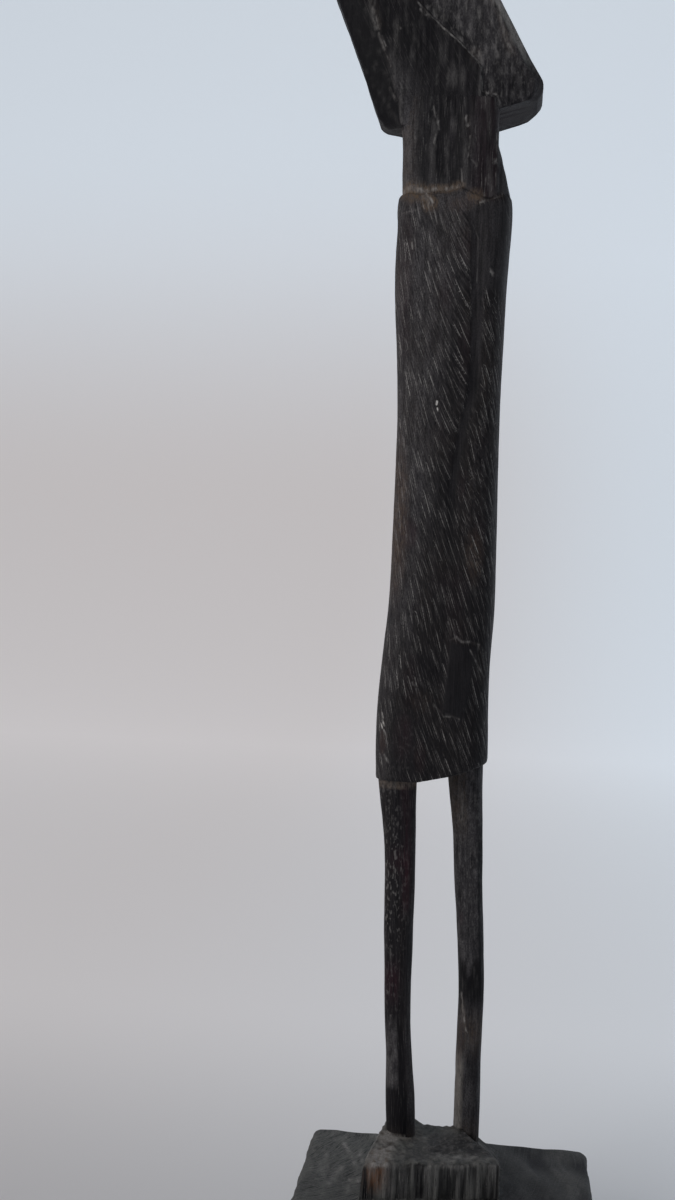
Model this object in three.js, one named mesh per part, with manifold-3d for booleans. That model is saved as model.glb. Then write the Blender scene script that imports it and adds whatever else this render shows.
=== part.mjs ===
import * as THREE from "three";
import { mergeVertices } from "three/addons/utils/BufferGeometryUtils.js";
import Module from "manifold-3d";

// Millimetres. +X is the way the figure faces, -Y its right side, +Z up, Z = 0 the underside.

// Robe: height, back edge, front edge, half width
const ROBE = [
  [157, -24.5, 13.1, 14.4],
  [171, -25.0, 12.9, 14.6],
  [199, -23.8, 12.8, 14.3],
  [218, -22.2, 13.7, 13.9],
  [240, -21.7, 13.4, 13.6],
  [282, -21.4, 13.2, 13.5],
  [300, -22.2, 13.4, 13.5],
  [323, -23.8, 13.8, 13.8],
  [338, -23.9, 14.5, 13.9],
  [350, -23.7, 15.0, 13.8],
  [358, -23.4, 14.6, 13.4],
];
const ROBE_SQUARENESS = 4.2;
const ROBE_RING_STEP = 7;
// How far the hem rises at an X
const HEM = [
  [-26, 2.2],
  [-10, 2.3],
  [-6, 3.2],
  [0.5, 4.7],
  [4.2, 5.9],
  [12.5, 9.0],
  [15, 9.9],
];
const HEM_MIDDLE = -6;
const HEM_FADE = 30;
const HEM_ROUND = 0.7;

// Neck: height, back edge, front edge, half width; its foot is sunk in the robe
const NECK = [
  [353, -21.8, 14.3, 12.6],
  [364, -22.4, 12.8, 12.6],
  [376, -22.6, 9.6, 12.5],
  [387.5, -22.8, 9.4, 12.3],
];
const NECK_SQUARENESS = 4.5;
const NECK_RINGS = 7;

// Sleeve: the groove behind the arm, as height and X on the side of the robe
const GROOVE = [
  [182, -3.0],
  [207, -1.9],
  [233, -1.4],
  [253, -0.2],
  [287, 1.6],
  [320, 2.1],
  [343, 1.3],
];
const GROOVE_HALF_WIDTH = 2.3;
const GROOVE_FLOOR = 0.8;
const GROOVE_DEPTH = 1.0;
const GROOVE_END = 9;

// Hand: low on the side of the robe, at the front
const HAND_TOP = 207;
const HAND_LENGTH = 25.5;
const HAND_BACK = -0.6;
const HAND_WIDTH = 9.6;
const HAND_LEAN = 0.09;
const HAND_SLANT = 0.2;
const HAND_PROUD = 0.55;
const HAND_ROOT = 4;

// Legs: height, back edge, front edge; their feet are sunk in the mound
const REAR_LEG = [
  [34, -16.3, -6.6],
  [50, -17.2, -7.3],
  [64, -17.5, -8.7],
  [77, -18.4, -9.7],
  [104, -19.7, -9.9],
  [132, -20.4, -9.9],
  [157, -23.2, -10.5],
  [164, -24.0, -10.5],
];
const FRONT_LEG = [
  [34, 5.8, 14.5],
  [62, 5.8, 14.3],
  [89, 5.8, 14.5],
  [117, 3.8, 13.1],
  [145, 1.6, 12.1],
  [157, 0.0, 11.6],
  [167, -0.8, 11.6],
];
const LEG_OFFSET = 5.5;
const LEG_HALF = 4.7;
const LEG_SQUARENESS = 2.7;
const LEG_COLUMNS = 12;
const LEG_RINGS = 14;

// Head, in its own frame: u forward to the face, v to the left side, w up along its axis
const HEAD_FOOT = [-4, 384];
const HEAD_TILT = THREE.MathUtils.degToRad(24.3);
const HEAD_TOP = 100;
const HEAD_HALF = 12.4;
const CROWN_START = 68;
const CROWN_FULLNESS = 2.5;
const HEAD_FRONT = [
  [-6.6, 26.9],
  [-5, 28.8],
  [-2, 29.5],
  [6, 28.5],
  [29, 27.0],
  [70, 25.2],
  [100, 24.4],
];
const HEAD_BACK = [
  [9.2, -24.4],
  [11, -25.1],
  [32, -23.4],
  [55, -22.3],
  [80, -22.0],
  [100, -21.8],
];
const BACK_EDGE = [
  [2.8, -19.5],
  [9.5, -17.1],
  [20.8, -16.0],
  [44.4, -13.2],
  [100, -12.5],
];
const BACK_HALF = 5.6;
const FACE_CHAMFER = 3.2;
const FACE_HALF = [
  [-7.3, 7.0],
  [0, 8.4],
  [30, 9.2],
  [100, 9.4],
];
const UNDERSIDE = [
  [-25, 9.6],
  [-19.9, 6.5],
  [-19, 5.8],
  [12.4, -5.1],
  [21.9, -6.2],
  [30, -6.6],
];
const UNDERSIDE_FADE = 24;
const NAPE_ROLL = 4.5;
const JAW_LINE = [
  [-9, 9.2],
  [2, 9.2],
  [9.6, 12],
  [20, 9],
  [31, 4.2],
  [38.3, 1.5],
  [52, -2.5],
  [100, -3.5],
];
const JAW_STEP = 0.9;
const HAIR_LINE = [
  [-24, 61],
  [-8, 64],
  [12, 71],
  [27, 76],
];
const HAIR_LEVEL = 68;
const HAIR_BAND = 20;
const HAIR_PROUD = 1.1;

// Face, all as heights w and half widths on the flat front of the head
const MOUTH = { w: 20, half: 5.2, lip: 3.1, line: 0.8, hollow: 1.0 };
const NOSE = { foot: 33, head: 57, footHalf: 3.7, headHalf: 1.5, side: 1.5 };
const EYE = { w: 51, v: 5.1, half: 3.1, lid: 2.1, proud: 1.2 };
const CHEEK_DEPTH = 2.0;
const RIM_OUTER = 0.95;
const RIM_INNER = 0.78;
const BROW = 58.5;
const EAR = { u: -6.5, w: 56.8, length: 7, width: 7.4, proud: 1.4 };

// Base: the rough slab, and the raised block that the legs stand in
const SLAB = { back: 21.5, front: -38, left: -44.6, right: 52.2, height: 27.4, round: 1.6 };
const BLOCK = { left: -22.8, right: 21.5, back: 12, front: -31, skew: 0.2, top: 39, root: 22 };
const BLOCK_SLOPE = { left: 0.08, right: 1.2, back: 0.55 };
const MOUND_RISE = 2.4;
const TOOL_WAVE = 0.5;

const clamp = THREE.MathUtils.clamp;
const smooth = THREE.MathUtils.smoothstep;
const lerp = THREE.MathUtils.lerp;

// The value of a table at a height, on a cubic through its rows
function along(table, at, column = 1) {
  const last = table.length - 1;
  const x = clamp(at, table[0][0], table[last][0]);
  let i = 0;
  while (i < last - 1 && x > table[i + 1][0]) i++;
  const slope = (a, b) => (table[b][column] - table[a][column]) / (table[b][0] - table[a][0]);
  const step = table[i + 1][0] - table[i][0];
  const t = (x - table[i][0]) / step;
  const here = slope(i, i + 1);
  const before = i > 0 ? (slope(i - 1, i) + here) / 2 : here;
  const after = i < last - 1 ? (slope(i + 1, i + 2) + here) / 2 : here;
  const rise = table[i + 1][column] - table[i][column];
  const bend = (before - here) * step * t * (1 - t) ** 2 - (after - here) * step * t * t * (1 - t);
  return table[i][column] + rise * t + bend;
}

// The same on straight lines, for edges that are cut straight
function straight(table, at, column = 1) {
  const last = table.length - 1;
  const x = clamp(at, table[0][0], table[last][0]);
  let i = 0;
  while (i < last - 1 && x > table[i + 1][0]) i++;
  const t = (x - table[i][0]) / (table[i + 1][0] - table[i][0]);
  return lerp(table[i][column], table[i + 1][column], t);
}

// A cylinder's grid put through a function of column, ring and whether it is the cap's centre
function reshapeTube(columns, rings, place) {
  const shape = new THREE.CylinderGeometry(1, 1, 1, columns, rings);
  const at = shape.getAttribute("position");
  for (let i = 0; i < at.count; i++) {
    const turn = Math.atan2(at.getX(i), at.getZ(i)) / (2 * Math.PI) + 1.25;
    const column = Math.round(turn * columns) % columns;
    const ring = Math.round((at.getY(i) + 0.5) * rings);
    const centre = Math.hypot(at.getX(i), at.getZ(i)) < 0.5;
    at.setXYZ(i, ...place(column, ring, centre));
  }
  return shape;
}

// A box's grid put through a function of its three fractions
function reshapeBox(across, deep, high, place) {
  const shape = new THREE.BoxGeometry(1, 1, 1, across, deep, high);
  const at = shape.getAttribute("position");
  for (let i = 0; i < at.count; i++)
    at.setXYZ(i, ...place(at.getX(i) + 0.5, at.getY(i) + 0.5, at.getZ(i) + 0.5));
  return shape;
}

// A point on a squared oval, from its angle; angle 0 is the back, pi the front
function ovalPoint(angle, back, front, half, squareness) {
  const reach = (front - back) / 2;
  const c = Math.abs(Math.cos(angle) / reach) ** squareness;
  const s = Math.abs(Math.sin(angle) / half) ** squareness;
  const radius = (c + s) ** (-1 / squareness);
  return [(back + front) / 2 - radius * Math.cos(angle), -radius * Math.sin(angle)];
}

// Columns of a half section go from the back round the right side to the front, then mirror
function mirrored(column, half) {
  return column <= half ? [column, 1] : [2 * half - column, -1];
}

// Robe with the sleeve's groove on both sides and a slanting hem
const ROBE_BACK_COLUMNS = 8;
const ROBE_FRONT_COLUMNS = 5;
const ROBE_HALF = ROBE_BACK_COLUMNS + 3 + ROBE_FRONT_COLUMNS;
const ROBE_FOOT = ROBE[0][0];
const ROBE_HEAD = ROBE[ROBE.length - 1][0];
const ROBE_RINGS = Math.round((ROBE_HEAD - ROBE_FOOT) / ROBE_RING_STEP);

function robeAngle(column, z, back, front, half) {
  const groove = along(GROOVE, z) - (back + front) / 2;
  const angleOf = (offset) => Math.atan2(half, -(groove + offset));
  const first = angleOf(-GROOVE_HALF_WIDTH);
  const last = angleOf(GROOVE_HALF_WIDTH);
  if (column <= ROBE_BACK_COLUMNS) return (first * column) / ROBE_BACK_COLUMNS;
  if (column === ROBE_BACK_COLUMNS + 1) return angleOf(-GROOVE_FLOOR);
  if (column === ROBE_BACK_COLUMNS + 2) return angleOf(GROOVE_FLOOR);
  const t = (column - ROBE_BACK_COLUMNS - 3) / ROBE_FRONT_COLUMNS;
  return lerp(last, Math.PI, t);
}

function robePoint(column, ring, centre) {
  const low = ring === 1 ? 0.2 : ring;
  const z = lerp(ROBE_FOOT, ROBE_HEAD, low / ROBE_RINGS);
  const inset = ring === 0 ? HEM_ROUND : 0;
  const back = along(ROBE, z, 1) + inset;
  const front = along(ROBE, z, 2) - inset;
  const half = along(ROBE, z, 3) - inset;
  const [step, side] = mirrored(column, ROBE_HALF);
  const inGroove = step === ROBE_BACK_COLUMNS + 1 || step === ROBE_BACK_COLUMNS + 2;
  const start = GROOVE[0][0];
  const end = GROOVE[GROOVE.length - 1][0];
  const open = smooth(z, start - GROOVE_END, start) * (1 - smooth(z, end, end + GROOVE_END));
  const depth = inGroove ? GROOVE_DEPTH * open : 0;
  const angle = robeAngle(step, z, back, front, half);
  const [x, y] = ovalPoint(angle, back, front, half, ROBE_SQUARENESS);
  const at = centre ? [HEM_MIDDLE, 0] : [x, side * (y + depth)];
  const lift = straight(HEM, at[0]) * (1 - smooth(z, ROBE_FOOT, ROBE_FOOT + HEM_FADE));
  return [at[0], at[1], z + lift];
}

function neckPoint(column, ring, centre) {
  const z = lerp(NECK[0][0], NECK[NECK.length - 1][0], ring / NECK_RINGS);
  const back = along(NECK, z, 1);
  const front = along(NECK, z, 2);
  const [step, side] = mirrored(column, ROBE_HALF);
  const angle = (Math.PI * step) / ROBE_HALF;
  const [x, y] = ovalPoint(angle, back, front, along(NECK, z, 3), NECK_SQUARENESS);
  return centre ? [(back + front) / 2, 0, z] : [x, side * y, z];
}

function legPoint(table, offset, column, ring, centre) {
  const z = lerp(table[0][0], table[table.length - 1][0], ring / LEG_RINGS);
  const back = along(table, z, 1);
  const front = along(table, z, 2);
  const angle = (2 * Math.PI * (column + 0.5)) / LEG_COLUMNS;
  const [x, y] = ovalPoint(angle, back, front, LEG_HALF, LEG_SQUARENESS);
  return centre ? [(back + front) / 2, offset, z] : [x, offset + y, z];
}

// The hand's plate: its outer face stands proud of the robe, its inner face is sunk in it
function handPoint(side, across, out, down) {
  const z = HAND_TOP - down * HAND_LENGTH;
  const taper = across < 0.5 ? 0 : smooth(down, 0.6, 1) * 2.2;
  const tip = smooth(down, 0.75, 1) * 1.2;
  const x = HAND_BACK + across * (HAND_WIDTH - taper) - down * HAND_LENGTH * HAND_LEAN + (1 - across) * tip;
  const face = along(ROBE, z, 3);
  const [, y] = ovalPoint(
    Math.atan2(face, (along(ROBE, z, 1) + along(ROBE, z, 2)) / 2 - x),
    along(ROBE, z, 1),
    along(ROBE, z, 2),
    face,
    ROBE_SQUARENESS,
  );
  const level = out > 0.5 ? HAND_PROUD : -HAND_ROOT;
  return [x, side * (y - level), z - HAND_SLANT * (across * HAND_WIDTH)];
}

function noseHalfAt(w) {
  return lerp(NOSE.footHalf, NOSE.headHalf, clamp((w - NOSE.foot) / (NOSE.head - NOSE.foot), 0, 1));
}

function faceHollow(v, w, half) {
  const a = Math.abs(v);
  const rim = 1 - smooth(a, half * RIM_INNER, half * RIM_OUTER);
  const tall = smooth(w, NOSE.foot - 5, NOSE.foot + 1) * (1 - smooth(w, BROW - 2.5, BROW));
  const noseHalf = noseHalfAt(w);
  const beside = w < NOSE.foot - 1 ? 1 : smooth(a, noseHalf, noseHalf + NOSE.side);
  const cheeks = CHEEK_DEPTH * rim * tall * beside;
  const eye = ((a - EYE.v) / EYE.half) ** 2 + ((w - EYE.w) / EYE.lid) ** 2;
  const lid = eye < 1 ? EYE.proud * (1 - eye) : 0;
  const around = (a / (MOUTH.half + 2.2)) ** 2 + ((w - MOUTH.w) / (MOUTH.lip + 3.4)) ** 2;
  const lips = (a / MOUTH.half) ** 2 + ((w - MOUTH.w) / MOUTH.lip) ** 2;
  const hollow = MOUTH.hollow * clamp(1.6 * (1 - around), 0, 1) * smooth(lips, 0.8, 1.25);
  const between = Math.abs(w - MOUTH.w) < 1 && a < MOUTH.half * 0.85 ? MOUTH.line : 0;
  return cheeks - lid + hollow + between;
}

// Head: each half section is back, back chamfer, side, step of the jaw, cheek, chamfer, face
const SIDE_COLUMNS = 5;
const CHEEK_COLUMNS = 3;
const FACE_COLUMNS = 8;
const JAW_COLUMN = 2 + SIDE_COLUMNS;
const CHEEK_END = JAW_COLUMN + 1 + CHEEK_COLUMNS;
const HEAD_HALF_COLUMNS = CHEEK_END + 1 + FACE_COLUMNS;
const HEAD_RINGS = [0, 1.6, 3.8, 8];
for (let w = 12; w < 28; w += 2) HEAD_RINGS.push(w);
for (let w = 28; w < 62; w += 2) HEAD_RINGS.push(w);
for (const w of [64, HAIR_LEVEL - 0.4, HAIR_LEVEL + 0.4, 72, 76, 80]) HEAD_RINGS.push(w);
for (const w of [84, 88, 91.5, 94.5, 97, 99]) HEAD_RINGS.push(w);

// The columns of the face keep to its edge, its rim, the nose's sides and the middle
function faceColumn(step, w, half) {
  const nose = noseHalfAt(w);
  const socket = [half * RIM_INNER, nose + NOSE.side];
  const between = lerp(socket[0], socket[1], 0.5);
  return [half, half * RIM_OUTER, socket[0], between, socket[1], nose, nose * 0.6, nose * 0.25, 0][step];
}

function headSection(step, w, level) {
  const back = straight(HEAD_BACK, w);
  const front = straight(HEAD_FRONT, w);
  const edge = straight(BACK_EDGE, w);
  const jaw = straight(JAW_LINE, w);
  const faceHalf = straight(FACE_HALF, w);
  const cheek = HEAD_HALF - JAW_STEP * (1 - smooth(level, HAIR_LEVEL - 0.4, HAIR_LEVEL + 0.4));
  const frontEdge = cheek - 0.3;
  if (step === 0) return [back, 0];
  if (step === 1) return [back, BACK_HALF];
  if (step <= JAW_COLUMN) return [lerp(edge, jaw, (step - 2) / SIDE_COLUMNS), HEAD_HALF];
  if (step <= CHEEK_END) {
    const t = (step - JAW_COLUMN - 1) / CHEEK_COLUMNS;
    return [lerp(jaw + 0.7, front - FACE_CHAMFER, t), lerp(cheek, frontEdge, t)];
  }
  const v = faceColumn(step - CHEEK_END - 1, w, faceHalf);
  return [front - faceHollow(v, w, faceHalf), v];
}

function fromHead(u, v, w) {
  const c = Math.cos(HEAD_TILT);
  const s = Math.sin(HEAD_TILT);
  return [HEAD_FOOT[0] + u * c - w * s, v, HEAD_FOOT[1] + u * s + w * c];
}

function headPoint(column, ring, centre) {
  const level = HEAD_RINGS[ring];
  const fade = clamp(1 - level / UNDERSIDE_FADE, 0, 1);
  if (centre) return ring === 0 ? fromHead(12.4, 0, -5.1) : fromHead(1, 0, HEAD_TOP);
  const [step, side] = mirrored(column, HEAD_HALF_COLUMNS);
  const [guess, across] = headSection(step, level, level);
  const nearHair = 1 - smooth(Math.abs(level - HAIR_LEVEL), 1, HAIR_BAND);
  const sheer = (straight(HAIR_LINE, guess) - HAIR_LEVEL) * nearHair;
  const roll = (NAPE_ROLL * (1 + (side * across) / HEAD_HALF) * (1 - smooth(guess, -16, -7))) / 2;
  const w = level + (straight(UNDERSIDE, guess) - roll) * fade + sheer;
  let [u, v] = headSection(step, w, level);
  const hair = HAIR_PROUD * smooth(level, HAIR_LEVEL - 0.4, HAIR_LEVEL + 0.4);
  const grow = (value, reach) => value * (1 + hair / reach);
  const crown = clamp((level - CROWN_START) / (HEAD_TOP - CROWN_START), 0, 1);
  const shrink = (1 - crown ** CROWN_FULLNESS) ** (1 / 2.2);
  const middle = 1;
  u = middle + grow(u - middle, 26) * shrink;
  v = grow(v, HEAD_HALF) * shrink ** 0.8;
  return fromHead(u, -side * v, w);
}

// A flattened egg on each side for the ear
function earShape(side) {
  const shape = new THREE.SphereGeometry(1, 12, 8);
  const at = shape.getAttribute("position");
  for (let i = 0; i < at.count; i++) {
    const u = EAR.u + (at.getX(i) * EAR.width) / 2 - at.getZ(i) * 0.6;
    const w = EAR.w + at.getZ(i) * EAR.length;
    at.setXYZ(i, ...fromHead(u, side * (HEAD_HALF - 0.4) + at.getY(i) * (EAR.proud + 0.4), w));
  }
  return shape;
}

// Uneven cuts of the tool, the same at every build
function toolCut(x, y) {
  return TOOL_WAVE * (Math.sin(0.21 * x + 0.6) * Math.cos(0.17 * y + 1.1) + 0.5 * Math.sin(0.47 * x + 0.31 * y));
}

function slabPoint(a, b, c) {
  const top = c > 0.99;
  const edgeX = a < 0.01 || a > 0.99;
  const edgeY = b < 0.01 || b > 0.99;
  const inward = top ? SLAB.round : edgeX && edgeY ? SLAB.round * 0.8 : 0;
  const x = clamp(lerp(SLAB.left, SLAB.right, a), SLAB.left + inward, SLAB.right - inward);
  const y = clamp(lerp(SLAB.front, SLAB.back, b), SLAB.front + inward, SLAB.back - inward);
  const low = edgeX || edgeY ? SLAB.round * 0.45 : 0;
  const level = top ? SLAB.height - low + toolCut(x, y) * (edgeX || edgeY ? 0.5 : 1) : c * (SLAB.height - SLAB.round);
  const bow = edgeY && c > 0.2 ? toolCut(x, 0) * 0.6 : 0;
  return [x, y + bow, c < 0.01 ? 0 : level];
}

function blockPoint(a, b, c) {
  const above = c * (BLOCK.top - SLAB.height);
  const rear = smooth(b, 0, 1);
  const left = BLOCK.left + above * BLOCK_SLOPE.left + rear * 5;
  const right = BLOCK.right + (1 - above * BLOCK_SLOPE.right) * rear;
  const x = lerp(left, right, a);
  const front = BLOCK.front + (x - BLOCK.left) * BLOCK.skew;
  const back = BLOCK.back - above * BLOCK_SLOPE.back;
  const y = lerp(front, back, b);
  const hump = 1 - 1.25 * smooth(x, -12, -3) + 0.5 * smooth(x, 2, 9);
  const mound = MOUND_RISE * hump * smooth(b, 0.15, 0.9);
  const edge = a < 0.01 || a > 0.99 || b < 0.01 || b > 0.99 ? 1.1 : 0;
  const z = lerp(BLOCK.root, BLOCK.top, c) + (c > 0.99 ? mound - edge + toolCut(x, y) * 0.6 : 0);
  return [x, y, z];
}

const wasm = await Module();
wasm.setup();

function solid(shape) {
  shape.deleteAttribute("normal");
  shape.deleteAttribute("uv");
  const merged = mergeVertices(shape, 1e-4);
  return new wasm.Manifold(
    new wasm.Mesh({
      numProp: 3,
      vertProperties: new Float32Array(merged.getAttribute("position").array),
      triVerts: new Uint32Array(merged.index.array),
    }),
  );
}

function shapeOf(manifold) {
  const mesh = manifold.getMesh();
  const shape = new THREE.BufferGeometry();
  shape.setAttribute("position", new THREE.BufferAttribute(new Float32Array(mesh.vertProperties), 3));
  shape.setIndex(new THREE.BufferAttribute(new Uint32Array(mesh.triVerts), 1));
  shape.computeVertexNormals();
  return shape;
}

const pieces = [
  reshapeTube(2 * ROBE_HALF, ROBE_RINGS, robePoint),
  reshapeTube(2 * ROBE_HALF, NECK_RINGS, neckPoint),
  reshapeTube(2 * HEAD_HALF_COLUMNS, HEAD_RINGS.length - 1, headPoint),
  reshapeTube(LEG_COLUMNS, LEG_RINGS, (c, r, m) => legPoint(REAR_LEG, -LEG_OFFSET, c, r, m)),
  reshapeTube(LEG_COLUMNS, LEG_RINGS, (c, r, m) => legPoint(FRONT_LEG, LEG_OFFSET, c, r, m)),
  reshapeBox(5, 1, 7, (a, b, c) => handPoint(1, a, 1 - b, 1 - c)),
  reshapeBox(5, 1, 7, (a, b, c) => handPoint(-1, a, b, 1 - c)),
  earShape(-1),
  earShape(1),
  reshapeBox(12, 8, 3, slabPoint),
  reshapeBox(10, 8, 3, blockPoint),
];

let whole = solid(pieces[0]);
for (const piece of pieces.slice(1)) whole = whole.add(solid(piece));

const figure = new THREE.Mesh(shapeOf(whole), new THREE.MeshStandardMaterial({ color: 0x2b2622, roughness: 0.7 }));
figure.name = "carved_figure";

const group = new THREE.Group();
group.add(figure);

export default group;
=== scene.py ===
"""Carved wooden figure: the finished surface, its dark wood, and a plain studio around it."""

import itertools
import math
from types import SimpleNamespace as Sizes

import bmesh
import bpy
import numpy as np
from mathutils.kdtree import KDTree
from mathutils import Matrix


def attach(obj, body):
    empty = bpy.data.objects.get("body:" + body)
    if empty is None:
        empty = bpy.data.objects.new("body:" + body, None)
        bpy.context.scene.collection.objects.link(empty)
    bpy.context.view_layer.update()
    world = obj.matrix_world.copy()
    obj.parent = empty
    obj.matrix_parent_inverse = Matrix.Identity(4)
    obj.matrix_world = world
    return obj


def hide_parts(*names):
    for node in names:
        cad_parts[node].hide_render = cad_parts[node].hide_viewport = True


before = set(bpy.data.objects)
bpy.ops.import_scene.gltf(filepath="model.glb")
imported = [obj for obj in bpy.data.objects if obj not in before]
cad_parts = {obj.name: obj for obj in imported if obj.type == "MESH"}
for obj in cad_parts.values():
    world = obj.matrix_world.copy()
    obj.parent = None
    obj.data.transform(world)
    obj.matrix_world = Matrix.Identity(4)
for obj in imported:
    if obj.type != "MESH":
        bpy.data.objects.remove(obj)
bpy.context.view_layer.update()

# The figure's sizes are millimetres in the frame's axes, until carve() turns them into metres: +X is
# forward, -Y the figure's right side. The studio, the lights and the camera are in metres.
MM = 0.001
BODY = "root"
NODE = "carved_figure"
SLOT = "dark_wood"
rng = np.random.default_rng(20)

# Robe: height, back edge, front edge, half width
ROBE = np.array([
    (157, -24.5, 13.1, 14.4), (171, -25, 12.9, 14.6), (185, -24.8, 12.7, 14.5),
    (199, -23.8, 12.8, 14.3), (218, -22.2, 13.7, 13.9), (240, -21.7, 13.4, 13.6),
    (282, -21.4, 13.2, 13.5), (300, -22.2, 13.4, 13.5), (323, -23.8, 13.8, 13.8),
    (338, -23.9, 14.5, 13.9), (346, -23.6, 14.9, 13.9), (354, -23.8, 15, 13.8),
    (358, -23.4, 14.6, 13.4),
])
ROBE_FOOT, ROBE_TOP = ROBE[0, 0], ROBE[-1, 0]
ROBE_SQUARENESS = 4.2
# How far the hem rises at an X, and the height over which that rise fades away above it
HEM = np.array([(-26, 2.2), (-10, 2.3), (-6, 3.2), (0.5, 4.7), (4.2, 5.9), (12.5, 9), (15, 9.9)])
HEM_FADE = 30
# The robe's upper edge on the right side, as X and height, and its height at the back of the left side;
# the rings start to follow it at EDGE_START
NECKLINE = np.array([
    (-24, 356.6), (-20.4, 356.5), (-15.7, 355.6), (-10.1, 355.7), (-5.8, 356.4), (-1.9, 357.7),
    (2, 355.6), (7.5, 353.9), (10.1, 355.1), (14.1, 356.5),
])
LEFT_EDGE = 357
EDGE_START = 340

# Neck: height, back edge, front edge, half width, squareness
NECK = np.array([
    (350, -21.8, 14.4, 12.6, 5), (358, -22.2, 14.2, 12.6, 5.5), (364, -22.4, 12.8, 12.6, 6),
    (369, -22.4, 11.5, 12.6, 6.2), (373, -22.5, 10.2, 12.6, 6.5), (376, -22.6, 9.6, 12.6, 8),
    (380, -23.2, 9.5, 12.6, 10), (387.6, -23.6, 9.4, 12.45, 10), (388.5, -23.6, 4.8, 12.4, 8),
    (394, -24, 4, 12.1, 6), (403, -22.5, 2, 11.4, 5),
])
NECK_COLUMNS = 108

# Legs: height, back edge, front edge
REAR_LEG = np.array([
    (34, -16.3, -6.6), (50, -17.2, -7.3), (64, -17.5, -8.7), (77, -18.4, -9.7), (104, -19.7, -9.9),
    (132, -20.4, -9.9), (157, -23.2, -10.5), (164, -24, -10.5),
])
FRONT_LEG = np.array([
    (34, 5.8, 14.5), (62, 5.8, 14.3), (89, 5.8, 14.5), (117, 3.8, 13.1), (145, 1.6, 12.1),
    (157, 0, 11.6), (167, -0.8, 11.6),
])
LEG_OFFSET = 5.5
LEG_HALF = 4.7
LEG_SQUARENESS = 2.7
LEG_RINGS, LEG_COLUMNS = 112, 38

# Head, in its own frame: u forward to the face, v to the left side, w up along its axis
HEAD_FOOT = (-4, 384)
HEAD_TILT = math.radians(24.3)
HEAD_TOP = 100
HEAD_HALF = 12.4
CROWN_START = 68
HEAD_FRONT = np.array([(-6.6, 26.9), (-5, 28.8), (-2, 29.5), (6, 28.5), (29, 27), (70, 25.2), (100, 24.4)])
HEAD_BACK = np.array([(9.2, -24.4), (11, -25.1), (32, -23.4), (55, -22.3), (80, -22), (100, -21.8)])
BACK_EDGE = np.array([(2.8, -19.5), (9.5, -17.1), (20.8, -16), (44.4, -13.2), (100, -12.5)])
BACK_HALF = 5.6
FACE_CHAMFER = 3.2
FACE_HALF = np.array([(-7.3, 7), (0, 8.4), (30, 9.2), (100, 9.4)])
UNDERSIDE = np.array([(-25, 9.6), (-19.9, 6.5), (-19, 5.8), (12.4, -5.1), (21.9, -6.2), (30, -6.6)])
UNDERSIDE_FADE = 24
JAW_LINE = np.array([
    (-9, 9.2), (2, 9.2), (9.6, 12), (20, 9), (31, 4.2), (38.3, 1.5), (52, -2.5), (100, -3.5),
])
JAW_STEP = 0.9
HAIR_LINE = np.array([(-24, 61), (-8, 64), (12, 71), (27, 76)])
HAIR_LEVEL = 68
HAIR_BAND = 20
HAIR_PROUD = 1.1
HAIR_ROW = 4.4
HAIR_NOTCH = 4.6
HEAD_GIRTH_RADIUS = 17
FOOT_ROUND = 1.3
FOOT_RISE = 3.2
NAPE_ROLL = 4.5

# Base: the rough slab (its left, right, front and back), and the raised block that the legs stand in
SLAB_BOX = (-44.6, 52.2, -38, 21.5)
SLAB = Sizes(height=27.4, round=2.2, corner=3)
BLOCK = Sizes(left=-22.8, right=21.5, back=12, front=-31, deep=43, skew=0.2, top=39, root=22, round=1)
BLOCK_SLOPE = Sizes(left=0.08, right=1.2, back=0.55)
BLOCK_STEPS, BLOCK_EDGE = (66, 42), 0.028
MOUND_RISE = 2.4
TOOL_WAVE = 0.22
SLAB_GRID = 1.3


def unit(x):
    return np.clip(x, 0, 1)


def smooth(x, low, high):
    """Rises from nought at low to one at high"""
    t = unit((x - low) / (high - low))
    return t * t * (3 - 2 * t)


def fall(x, low, high):
    """Falls from one at low to nought at high"""
    return 1 - smooth(x, low, high)


def bump(x, middle, reach):
    """One at the middle, nought a reach away on either side"""
    return fall(np.abs(x - middle), 0, reach)


def lerp(a, b, t):
    return a + (b - a) * t


def straight(table, at, column=1):
    return np.interp(at, table[:, 0], table[:, column])


def along(table, at, column=1):
    """The value of a table at a height, on a cubic through its rows"""
    xs, ys = table[:, 0], table[:, column]
    slopes = np.diff(ys) / np.diff(xs)
    tangents = np.concatenate([slopes[:1], (slopes[1:] + slopes[:-1]) / 2, slopes[-1:]])
    x = np.clip(at, xs[0], xs[-1])
    i = np.clip(np.searchsorted(xs, x, side="right") - 1, 0, len(xs) - 2)
    step = xs[i + 1] - xs[i]
    t = (x - xs[i]) / step
    bend = (tangents[i] - slopes[i]) * t * (1 - t) ** 2 - (tangents[i + 1] - slopes[i]) * t * t * (1 - t)
    return lerp(ys[i], ys[i + 1], t) + bend * step


def oval(angle, back, front, half, squareness):
    """A point on a squared oval, from its angle; angle 0 is the back, pi the front, right side first"""
    reach = (front - back) / 2
    radius = (np.abs(np.cos(angle) / reach) ** squareness + np.abs(np.sin(angle) / half) ** squareness) ** (
        -1 / squareness
    )
    return (back + front) / 2 - radius * np.cos(angle), -radius * np.sin(angle)


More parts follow.
